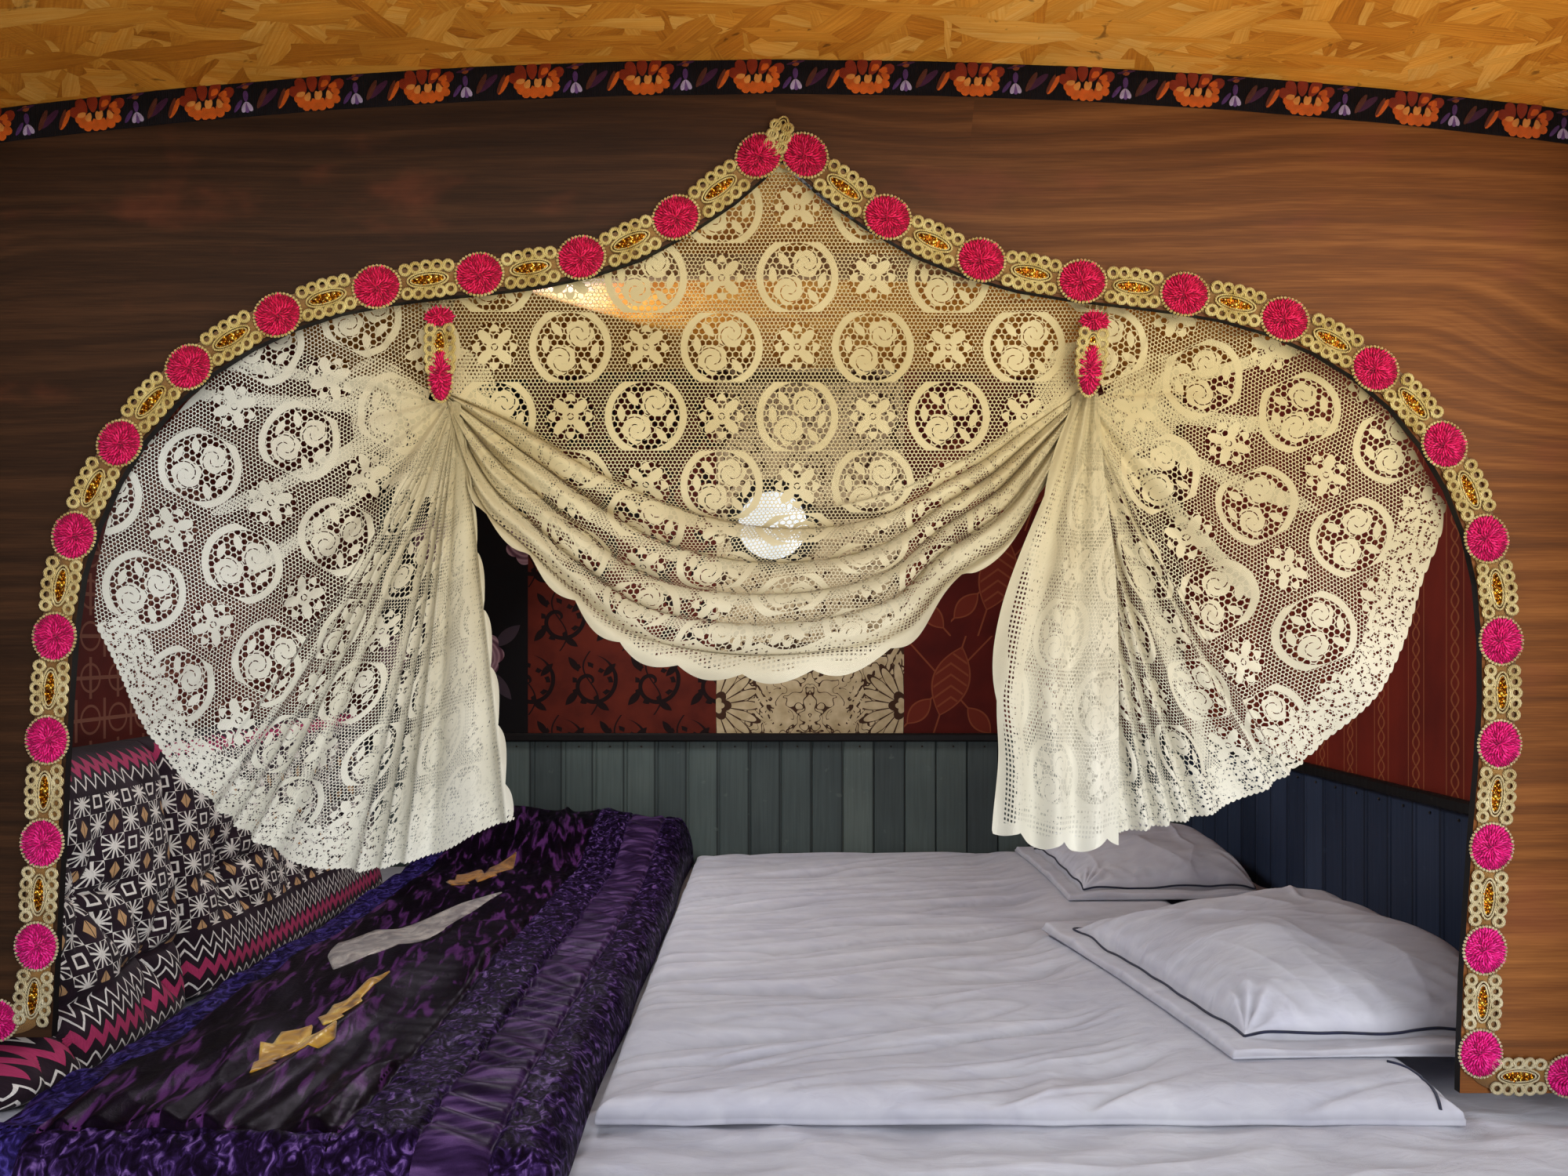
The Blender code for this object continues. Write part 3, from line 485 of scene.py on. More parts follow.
def roof_canvas():
    """Green proofed canvas with its weave and rain streaks."""
    finish = Finish("roof canvas", 0.8)
    x, y, z = finish.place()
    weave = (x * 2100.0).sin() * (y * 2100.0).sin()
    fade = finish.noise(x * 2.0, y * 2.0, z * 2.0, detail=5.0)
    streak = finish.noise(x * 26.0, y * 1.2, z * 3.0, detail=4.0)
    colour = finish.ramp(
        fade * 0.6 + streak * 0.4, (0.3, (66, 84, 62)), (0.5, (84, 102, 76)), (0.7, (104, 118, 92)))
    finish.paint(finish.dim(colour, weave.spread(-1.0, 1.0, 0.9, 1.08)))
    finish.relief(weave, 0.0004)
    return finish.material


def old_brass():
    finish = Finish("old brass", 0.32, Metallic=1.0)
    x, y, z = finish.place()
    tarnish = finish.noise(x * 60.0, y * 60.0, z * 60.0, detail=5.0)
    finish.paint(finish.ramp(tarnish, (0.3, (120, 88, 42)), (0.5, (190, 148, 78)), (0.7, (214, 176, 104))))
    finish.gloss(tarnish.spread(0.3, 0.7, 0.5, 0.25))
    finish.relief(tarnish, 0.0002)
    return finish.material


def window_glass():
    finish = Finish("window glass", 0.04, Transmission_Weight=1.0, IOR=1.45, Specular_IOR_Level=0.5)
    x, _, z = finish.place()
    smear = finish.noise(x * 30.0, z * 12.0, detail=4.0)
    finish.paint(finish.ramp(smear, (0.3, (236, 242, 244)), (0.7, (250, 252, 252))))
    finish.gloss(smear.spread(0.3, 0.7, 0.02, 0.12))
    return finish.material


# Wall papers

def petals(a, b, size, lobes, depth, turn=0.0):
    """Distance from a flower's middle over the reach of its petals: under 1 is inside."""
    reach = ((b.angle_from(a) + turn) * (lobes / 2)).cos().abs() * depth + (1.0 - depth)
    return a.length(b) / (reach * size)


def leaf(a, b, x, y, turn, length, width):
    """Above 0 inside a pointed leaf with its middle at (x, y), and below 0 outside."""
    p, q = a - x, b - y
    along = p * math.cos(turn) + q * math.sin(turn)
    across = (q * math.cos(turn) - p * math.sin(turn)).abs()
    share = along / length
    return (share * share * -1.0 + 1.0).most(0.0) * width - across


def most_of(fields):
    """The greatest of several fields at each place."""
    return functools.reduce(Field.most, fields)


def end_wall_papers():
    """Five patterned drops side by side, and plain paint on the wall's outer face."""
    finish = Finish("end wall papers", 0.72)
    x, y, z = finish.place()
    drop = 0.5
    start = -1.175
    number = ((x - start) / drop).floor()
    u = (x - start) - number * drop
    paper = None
    for place, pattern in enumerate((rose_paper, briar_paper, damask_paper, leaf_paper, hexagon_paper)):
        colour = pattern(finish, u, z)
        if paper is None:
            paper = colour
        else:
            paper = finish.mix(number.above(place - 0.5), paper, colour)
    finish.paint(outer_paint(finish, paper, y.above(END_WALL + INTO_WALL), x, z))
    finish.relief(finish.noise(x * 300.0, z * 300.0, detail=2.0), 0.0002)
    return finish.material


def outer_paint(finish, inner, outside, along, z):
    """The blue-green paint of the wagon's outside, where outside is 1, over the inner colour."""
    fade = finish.noise(along * 1.6, z * 1.6, 7.0, detail=4.0)
    streak = finish.noise(along * 60.0, z * 1.4, 2.0, detail=3.0)
    paint = finish.ramp(
        fade * 0.5 + streak * 0.5, (0.3, (56, 74, 84)), (0.5, (70, 90, 98)), (0.7, (88, 106, 112)))
    return finish.mix(outside, inner, paint)


def rose_paper(finish, u, z):
    row = (z / 0.30).floor()
    a = ((u + row.odd() * 0.125) / 0.25).fract() * 0.25 - 0.125
    b = (z / 0.30).fract() * 0.30 - 0.15
    bloom = petals(a, b, 0.062, 7, 0.18)
    whorl = (a.length(b) * 260.0 + b.angle_from(a) * 2.0).sin()
    leaves = most_of(leaf(a, b, *place) for place in (
        (0.07, 0.05, 0.7, 0.045, 0.017), (-0.07, 0.045, 2.4, 0.045, 0.017), (0.05, -0.08, -0.9, 0.05, 0.016)))
    colour = finish.mix(leaves.above(0.0), (16, 13, 15), (62, 50, 58))
    rose = finish.ramp(
        whorl * 0.3 + bloom * 0.5 + 0.1, (0.1, (120, 84, 96)), (0.45, (178, 142, 150)), (0.8, (96, 60, 74)))
    return finish.mix(bloom.below(1.0), colour, rose)


def briar_paper(finish, u, z):
    """Dark red with black curling stems, small leaves and berries."""
    row = (z / 0.17).floor()
    a = ((u + row.odd() * 0.0833) / 0.1667).fract() * 0.1667 - 0.0833
    b = (z / 0.17).fract() * 0.17 - 0.085
    turn = b.angle_from(a)
    reach = a.length(b)
    curl = ((reach * 95.0 - turn).cos()).above(0.86) * reach.below(0.075)
    stem = (a + (b * 36.0).sin() * 0.02).abs().below(0.0022)
    berries = ((turn * 3.0).cos() * 0.006 + 0.048 - reach).abs().below(0.006) * (turn * 9.0).sin().above(0.2)
    leaves = most_of(leaf(a, b, *place) for place in (
        (0.05, 0.035, 0.8, 0.024, 0.009), (-0.045, 0.05, 2.2, 0.024, 0.009),
        (-0.05, -0.04, -2.3, 0.026, 0.010), (0.03, -0.06, -0.6, 0.024, 0.009)))
    mask = curl.most(stem).most(berries).most(leaves.above(0.0))
    fade = finish.noise(u * 14.0, z * 14.0, detail=4.0)
    ground = finish.ramp(fade, (0.3, (78, 26, 18)), (0.7, (104, 38, 24)))
    return finish.mix(mask, ground, (26, 12, 12))


def damask_paper(finish, u, z):
    """Cream scrolling ornament, mirrored about each repeat's middle, on brown."""
    a = (((u - 0.25) / 0.5).fract() - 0.5).abs() * 0.36
    b = (((z - 0.287) / 0.36).fract() * 0.36 - 0.18) * 0.72
    palm = petals(a, b - 0.02, 0.082, 18, 0.42)
    veins = ((b - 0.02).angle_from(a) * 9.0).cos().abs().above(0.28)
    heart = petals(a, b - 0.02, 0.030, 6, 0.3)
    scroll_turn = (b + 0.075).angle_from(a - 0.055)
    scroll_reach = (a - 0.055).length(b + 0.075)
    scroll = ((scroll_reach * 190.0 + scroll_turn).cos()).above(0.25) * scroll_reach.below(0.040)
    frond = most_of(leaf(a, b, *place) for place in (
        (0.095, 0.055, 1.2, 0.050, 0.016), (0.105, -0.02, 1.9, 0.042, 0.013),
        (0.028, -0.108, 2.4, 0.034, 0.012), (0.015, 0.115, 1.4, 0.022, 0.012)))
    notch = ((a * 420.0 + b * 260.0).sin()).above(-0.6)
    mask = (palm.below(1.0) * veins * (1.0 - heart.below(1.0))).most(scroll).most(frond.above(0.0) * notch)
    mask = mask.most(heart.below(0.55)).most(petals(a - 0.125, b, 0.022, 6, 0.4).below(1.0))
    tendrils = (finish.noise(a * 46.0, b * 46.0, detail=0.0, distortion=1.4) - 0.5).abs().above(0.045)
    mask = mask.most(tendrils * palm.above(1.12) * (b.abs().below(0.118)))
    fade = finish.noise(u * 30.0, z * 30.0, detail=3.0)
    cream = finish.ramp(fade, (0.3, (176, 156, 118)), (0.7, (212, 194, 156)))
    return finish.mix(mask, (66, 42, 28), cream)


def leaf_paper(finish, u, z):
    """Red on red large veined leaves."""
    row = (z / 0.28).floor()
    a = ((u + row.odd() * 0.125) / 0.25).fract() * 0.25 - 0.125
    b = (z / 0.28).fract() * 0.28 - 0.14
    big = leaf(a, b, 0.0, 0.02, 1.25, 0.095, 0.048)
    small = most_of(leaf(a, b, *place) for place in (
        (0.075, -0.085, 2.3, 0.045, 0.022), (-0.085, -0.06, 0.8, 0.045, 0.022)))
    vein = ((b * 210.0 + a.abs() * 150.0).sin()).above(0.8)
    rim = big.most(small).abs().below(0.0022)
    fade = finish.noise(u * 9.0, z * 9.0, detail=4.0)
    ground = finish.ramp(fade, (0.3, (74, 20, 16)), (0.7, (96, 28, 20)))
    colour = finish.mix(big.most(small).above(0.0), ground, (112, 42, 28))
    return finish.mix(rim.most(vein * big.above(0.004)), colour, (136, 70, 44))


def hexagon_paper(finish, u, z):
    """Pale hexagon lattice on dark red."""
    a, b = u / 0.075, (z / 0.075) * 1.1547
    edge, _ = finish.cells(a + b.floor().odd() * 0.5, b, feature="DISTANCE_TO_EDGE", jitter=0.0)
    reach = (a.fract() - 0.5).length(b.fract() - 0.5)
    fade = finish.noise(u * 10.0, z * 10.0, detail=4.0)
    ground = finish.ramp(fade, (0.3, (70, 20, 16)), (0.7, (92, 30, 22)))
    mask = edge.below(0.045).most(reach.below(0.36) * reach.above(0.30))
    return finish.mix(mask * 0.5, ground, (150, 104, 84))


def chain_paper(finish, u, z):
    """Upright chain-like gold stripes on red."""
    a = (u / 0.115).fract() * 0.115 - 0.0575
    link = (z * 120.0).sin() * 0.010
    chain = (a.abs() - link.abs()).abs().below(0.0022)
    line = ((a.abs() - 0.024).abs()).below(0.0012)
    fade = finish.noise(u * 9.0, z * 5.0, detail=4.0)
    ground = finish.ramp(fade, (0.3, (96, 26, 16)), (0.7, (124, 38, 22)))
    return finish.mix(chain.most(line) * 0.6, ground, (172, 104, 62))


def side_wall_papers(name, pattern, side):
    finish = Finish(name, 0.72)
    x, y, z = finish.place()
    colour = pattern(finish, y + 3.0, z)
    outside = (x * side).above(HALF_WIDTH + INTO_WALL)
    finish.paint(outer_paint(finish, colour, outside, y, z))
    finish.relief(finish.noise(y * 300.0, z * 300.0, detail=2.0), 0.0002)
    return finish.material


def dress(material, *nodes):
    """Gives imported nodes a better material."""
    for node in nodes:
        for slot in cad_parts[node].material_slots:
            slot.material = material


def dress_timberwork():
    grey = ((60, 68, 70), (88, 100, 98), (120, 132, 124))
    blue = ((34, 42, 60), (48, 58, 80), (66, 78, 100))
    outer = ((46, 62, 72), (62, 80, 88), (80, 98, 104))
    ends = board_paint("end wainscot paint", "X", grey, outer=lambda x, y: y.above(END_WALL + INTO_WALL))
    sides = board_paint(
        "side wainscot paint", "Y", blue, outer=lambda x, y: x.abs().above(HALF_WIDTH + INTO_WALL))
    doors = board_paint("door paint", "X", outer)
    frame_paint = plain_paint("frame paint", (62, 80, 88), (150, 140, 120))
    black = plain_paint("black paint", (27, 24, 24), (86, 70, 58), 0.4)
    for side in ("left", "right"):
        dress(sides, f"wainscot_{side}")
        dress(black, f"dado_{side}")
        dress(doors, f"door_{side}")
        dress(frame_paint, f"eaves_plate_{side}", f"rib_end_{side}")
        dress(frame_paint, *(f"rib_{side}_{number}" for number in (1, 2, 3)))
        dress(BRASS, f"hinge_fixed_{side}", f"hinge_door_{side}", f"knob_{side}")
        dress(TIMBER_ALONG, f"bed_cleat_{side}")
        dress(TIMBER_UP, f"screen_cleat_{side}")
    dress(ends, "wainscot_end")
    dress(black, "dado_end", "window_ring_inner", "window_ring_outer")
    dress(window_glass(), "window_glass")
    dress(frame_paint, "bed_front")
    dress(TIMBER_ALONG, "bed_divider")
    dress(TIMBER_ACROSS, "bed_deck", "bearer_front", "bearer_rear", "floor_boards")
    dress(TIMBER_ACROSS, "roof_bow_front", "roof_bow_mid")
    dress(strand_board(), "roof_boards_front", "roof_boards_rear")
    dress(roof_canvas(), "roof_skin")
    dress(stained_ply(), "arch_screen")
    dress(end_wall_papers(), "upper_wall_end")
    dress(side_wall_papers("left wall paper", hexagon_paper, -1), "upper_wall_left")
    dress(side_wall_papers("right wall paper", chain_paper, 1), "upper_wall_right")


BRASS = old_brass()
TIMBER_ACROSS = timber("timber across", "X")
TIMBER_ALONG = timber("timber along", "Y")
TIMBER_UP = timber("timber upright", "Z")
dress_timberwork()


# Lace

def arch_edge():
    """The screen's sawn edge as (x, z), from the left foot over the tip to the right foot."""
    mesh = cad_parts["arch_screen"].data
    middle = BED_TOP + 0.34 * HEADROOM
    edge = {}
    for vert in mesh.vertices:
        x, y, z = vert.co
        inside = abs(x) < HALF_WIDTH - 0.03 and z < BED_TOP + 0.94 * HEADROOM
        if inside and abs(y - SCREEN_FRONT) < 0.0005:
            edge[(round(x, 4), round(z, 4))] = math.atan2(z - middle, x)
    around = {place: turn + (2 * math.pi if turn < -math.pi / 2 else 0.0) for place, turn in edge.items()}
    return sorted(around, key=lambda place: -around[place])


def along_line(points, shares):
    """Places on a polyline at shares of its length."""
    points = np.array(points, dtype=float)
    runs = np.linalg.norm(np.diff(points, axis=0), axis=1)
    reach = np.concatenate([[0.0], np.cumsum(runs)])
    where = np.asarray(shares) * reach[-1]
    return np.stack([np.interp(where, reach, points[:, k]) for k in range(points.shape[1])], axis=-1)


def smooth_line(points, count):
    """A smooth curve through a few points, evenly spaced along its length."""
    points = np.array(points, dtype=float)
    padded = np.vstack([2 * points[0] - points[1], points, 2 * points[-1] - points[-2]])
    fine = []
    for a, b, c, d in zip(padded, padded[1:], padded[2:], padded[3:]):
        for t in np.linspace(0.0, 1.0, 12, endpoint=False):
            fine.append(0.5 * (2 * b + (c - a) * t + (2 * a - 5 * b + 4 * c - d) * t**2
                               + (3 * b - a - 3 * c + d) * t**3))
    fine.append(points[-1])
    return along_line(fine, np.linspace(0.0, 1.0, count))


def smooth(value, start, end):
    share = np.clip((value - start) / (end - start), 0.0, 1.0)
    return share * share * (3 - 2 * share)


def above_bed(points):
    return [(x, BED_TOP + z) for x, z in points]


def cloth_mesh(name, places, cloth, hem, material, gathered=None, scalloped=0.0):
    """A sheet from a grid of places, with its cloth coordinates and its distance from the hem.

    Where it is gathered, from 0 to 1, it lies in more than one layer.
    """
    faces, _ = grid_faces(*places.shape[:2])
    mesh = bpy.data.meshes.new(name)
    mesh.from_pydata(places.reshape(-1, 3).tolist(), [], faces.tolist())
    keep_cloth(mesh, cloth)
    keep_numbers(mesh, "hem", hem)
    if gathered is not None:
        keep_numbers(mesh, "gathered", np.broadcast_to(gathered, hem.shape))
        keep_numbers(mesh, "scalloped", np.broadcast_to(scalloped, hem.shape))
    mesh.materials.append(material)
    mesh.shade_smooth()
    return add_object(name, mesh)


def row_lengths(places, start):
    """Signed length along each row of a grid, counted from one column."""
    runs = np.linalg.norm(np.diff(places, axis=1), axis=2)
    reach = np.concatenate([np.zeros((places.shape[0], 1)), np.cumsum(runs, axis=1)], axis=1)
    return reach - reach[:, start:start + 1]


def lace_fan(tie, edge, hem, side, first_fold, folds, slack, turn, seed):
    """A drape that spreads from its tie to the arch and down to its hem.

    Up to the angle first_fold (from straight down) it is pleated. Beyond that it hangs flat.
    """
    rows, columns = 120, 280
    rim = np.vstack([along_line(edge, np.linspace(0.0, 1.0, 110))[:-1], smooth_line(hem, columns - 109)])
    rim = along_line(rim, np.linspace(0.0, 1.0, columns))
    hem_starts = np.argmin(np.hypot(*(rim - np.array(hem[0])).T))
    share = np.linspace(0.0, 1.0, rows)[:, None]
    gather = np.linspace(-0.020, 0.022, columns)[::-1] * side
    start = np.stack([tie[0] + gather, np.full(columns, tie[1] - 0.004)], axis=-1)
    ray = rim - start
    radius = np.hypot(ray[:, 0], ray[:, 1])
    angle = np.degrees(np.arctan2(side * ray[:, 0], -ray[:, 1]))
    sag = 0.030 * np.sin(np.pi * share) * np.sin(np.radians(np.clip(angle, 0.0, 90.0) * 2.0))
    x = start[:, 0] + ray[:, 0] * share
    z = start[:, 1] + ray[:, 1] * share - sag
    draw = np.random.default_rng(seed)
    reach = radius * share
    y = np.zeros_like(x)
    grown = np.clip(reach / 0.16, 0.0, 1.0) ** 0.7
    for place, width, depth in folds:
        drift = place + 5.0 * share * np.sin(place)
        y += depth * grown * np.exp(-((angle - drift) / width) ** 2)
    pleated = 1.0 / (1.0 + np.exp((angle - first_fold) / 4.0))
    wave = angle / (first_fold / 7.5) + 0.5 * np.sin(angle * 0.35 + seed)
    y += pleated * grown * (0.0045 + 0.020 * share) * (0.5 - 0.5 * np.cos(2 * np.pi * wave))
    ripple = sum(draw.uniform(0.3, 1.0) * np.sin(angle * draw.uniform(0.08, 0.5) + reach * draw.uniform(4, 16)
                                               + draw.uniform(0, 6)) for _ in range(6))
    y += 0.0018 * grown * (ripple + 3.0)
    places = np.stack([x, y, z], axis=-1)
    column = int(np.argmin(np.abs(angle - first_fold)))
    fixed = np.radians(first_fold)
    down = np.array([side * math.sin(fixed), -math.cos(fixed)])
    across = np.array([-down[1], down[0]])
    flat = np.stack([x - tie[0], z - tie[1]], axis=-1)
    u_flat, v_flat = flat @ across, flat @ down
    length = row_lengths(places, column) * (1.0 + slack / np.maximum(reach, 0.06))
    inner = np.arange(columns)[None, :] > column
    u = np.where(inner, -side * length + u_flat[:, column:column + 1], u_flat)
    v = np.where(inner, reach, v_flat)
    c, s = math.cos(turn), math.sin(turn)
    cloth = np.stack([u * c - v * s, u * s + v * c], axis=-1)
    to_hem = np.where(np.arange(columns)[None, :] >= hem_starts, radius * (1.0 - share), 1.0)
    to_side = np.abs(length[:, -1:] - length)
    near_tie = np.exp(-((reach / 0.11) ** 2)) * smooth(165.0 - angle, 0.0, 60.0)
    doubled = (0.5 - 0.5 * np.cos(2 * np.pi * wave)) ** 2
    in_pleats = pleated * doubled * (1.0 - 0.45 * smooth(reach, 0.15, 0.60))
    lines = sum(np.exp(-((angle - place - 5.0 * share * np.sin(place) - width * 0.9) / 2.2) ** 2)
                for place, width, _ in folds)
    lines = lines * 0.7 * smooth(0.42 - reach, 0.0, 0.2)
    inner_edge = np.exp(-((angle / 8.0) ** 2)) * 0.7
    layers = np.clip(near_tie + in_pleats + inner_edge + lines, 0.0, 1.0)
    wide = (to_side < to_hem).astype(float)
    return places, cloth, np.minimum(to_hem, to_side), layers, wide


def lace_swag(left_tie, right_tie, edge, fold_line, hem):
    """The middle drape: flat under the arch, then falling in folds from tie to tie."""
    columns, flat_rows, fold_rows, folds = 240, 80, 150, 5
    top = along_line(edge, np.linspace(0.0, 1.0, columns))
    first = smooth_line(fold_line, columns)
    last = smooth_line(hem, columns)
    down = np.linspace(0.0, 1.0, flat_rows)[:, None, None]
    upper = top + (first - top) * down
    share = np.linspace(0.0, 1.0, fold_rows)[1:, None]
    drop = (first[:, 1] - last[:, 1])[None, :]
    x = first[:, 0] + (last[:, 0] - first[:, 0]) * share
    lean = np.linspace(0.0, 1.0, columns)[None, :]
    turns = 2 * np.pi * folds * (share ** 0.92 + 0.035 * np.sin(2 * np.pi * lean + 5.0 * share))
    curl = drop / (2 * np.pi * folds) * (1.45 - 0.5 * share)
    z = first[:, 1] - drop * share - curl * np.sin(turns)
    rise = np.clip(np.sin(np.pi * lean), 0.0, 1.0) ** 0.35
    deep = 0.004 + 0.026 * rise
    y = deep * (0.5 - 0.5 * np.cos(turns)) * (1.0 - 0.45 * share ** 3)
    pleats = 0.5 - 0.5 * np.cos(2 * np.pi * (13.0 * share + 0.6 * np.sin(5.0 * lean)))
    toward_tie = 1.0 - 0.75 * np.sin(np.pi * lean)
    y = y + 0.0065 * pleats * toward_tie + 0.0035 * np.sin(29.0 * share + 9.0 * lean) * (1 - toward_tie)
    lower = np.stack([x, y, z], axis=-1)
    sway = 0.004 * (1 + np.sin(upper[..., 0] * 17.0 + 1.0) * np.sin(upper[..., 1] * 9.0))
    flat = np.stack([upper[..., 0], sway * np.minimum(1.0, 4 * down[..., 0]), upper[..., 1]], axis=-1)
    places = np.concatenate([flat, lower])
    steps = np.linalg.norm(np.diff(places, axis=0), axis=2)
    reach = np.concatenate([np.zeros((1, columns)), np.cumsum(steps, axis=0)])
    peak = top[:, 1].max()
    v_flat = peak - places[:, :, 2]
    v = np.where(np.arange(len(places))[:, None] < flat_rows, v_flat,
                 v_flat[flat_rows - 1] + reach - reach[flat_rows - 1])
    u = places[:, :, 0].copy()
    spread = np.linspace(0.0, 1.0, fold_rows)[1:, None]
    row = row_lengths(lower, columns // 2)
    u[flat_rows:] = u[flat_rows:] * (1 - spread) + row * spread
    hem_distance = reach[-1:] - reach
    from_tie = np.minimum(np.hypot(places[..., 0] - left_tie[0], places[..., 2] - left_tie[1]),
                          np.hypot(places[..., 0] - right_tie[0], places[..., 2] - right_tie[1]))
    tucked = 0.5 + 0.5 * np.cos(turns + 0.9)
    folded = np.concatenate([np.zeros((flat_rows, columns)), tucked ** 2])
    near_tie = 1.05 * np.exp(-(from_tie / 0.15) ** 2)
    gathered = np.where(np.arange(len(places))[:, None] < flat_rows, 0.85 * np.exp(-(from_tie / 0.07) ** 2),
                        np.clip(near_tie + folded * (0.62 - 0.20 * smooth(from_tie, 0.10, 0.35)), 0.0, 1.0))
    return places, np.stack([u + 0.025, v - 0.023], axis=-1), hem_distance, gathered


def lace_tail(top, left, right):
    """The gathered end that hangs from the right tie in front of the drape."""
    rows, columns = 130, 110
    near, far = smooth_line([top[0], *left], rows), smooth_line([top[1], *right], rows)
    share = np.linspace(0.0, 1.0, columns)[None, :]
    down = np.linspace(0.0, 1.0, rows)[:, None]
    x = near[:, :1] + (far[:, :1] - near[:, :1]) * share
    z = near[:, 1:] + (far[:, 1:] - near[:, 1:]) * share - 0.014 * np.sin(np.pi * share) * down
    width = np.abs(far[:, :1] - near[:, :1])
    turns = 2 * np.pi * (3.0 * share + 0.12 * np.sin(3.0 * down))
    y = -(0.006 + 0.016 * down) * (0.5 - 0.5 * np.cos(turns)) * np.sin(np.pi * share) ** 0.5
    y += 0.003 * np.sin(np.pi * share) * np.sin(9.0 * down)
    places = np.stack([x, y, z], axis=-1)
    length = row_lengths(places, 0) * (1.0 + 0.05 / np.maximum(width, 0.03))
    drop = np.concatenate([[0.0], np.cumsum(np.linalg.norm(np.diff(near, axis=0), axis=1))])[:, None]
    cloth = np.stack([length + 0.31, np.broadcast_to(drop, length.shape)], axis=-1)
    hem = np.minimum(drop[-1] - drop, length)
    gathered = 0.95 - 0.25 * smooth(down, 0.25, 0.6) - 0.5 * (1 - smooth(length, 0.03, 0.06))
    return places, cloth, hem, np.clip(gathered, 0.0, 1.0)


def hexagons(u, v, pitch):
    """Distance from the middle of each cell of a honeycomb, where 0.5 is its wall."""
    tall = 1.7320508
    a, b = u / pitch, v / pitch
    ax, ay = a.fract() - 0.5, ((b / tall).fract() - 0.5) * tall
    bx, by = (a + 0.5).fract() - 0.5, ((b / tall + 0.5).fract() - 0.5) * tall
    nearer = (ax * ax + ay * ay).math("LESS_THAN", bx * bx + by * by)
    gx = (bx + (ax - bx) * nearer).abs()
    gy = (by + (ay - by) * nearer).abs()
    return gx.most(gx * 0.5 + gy * 0.8660254)


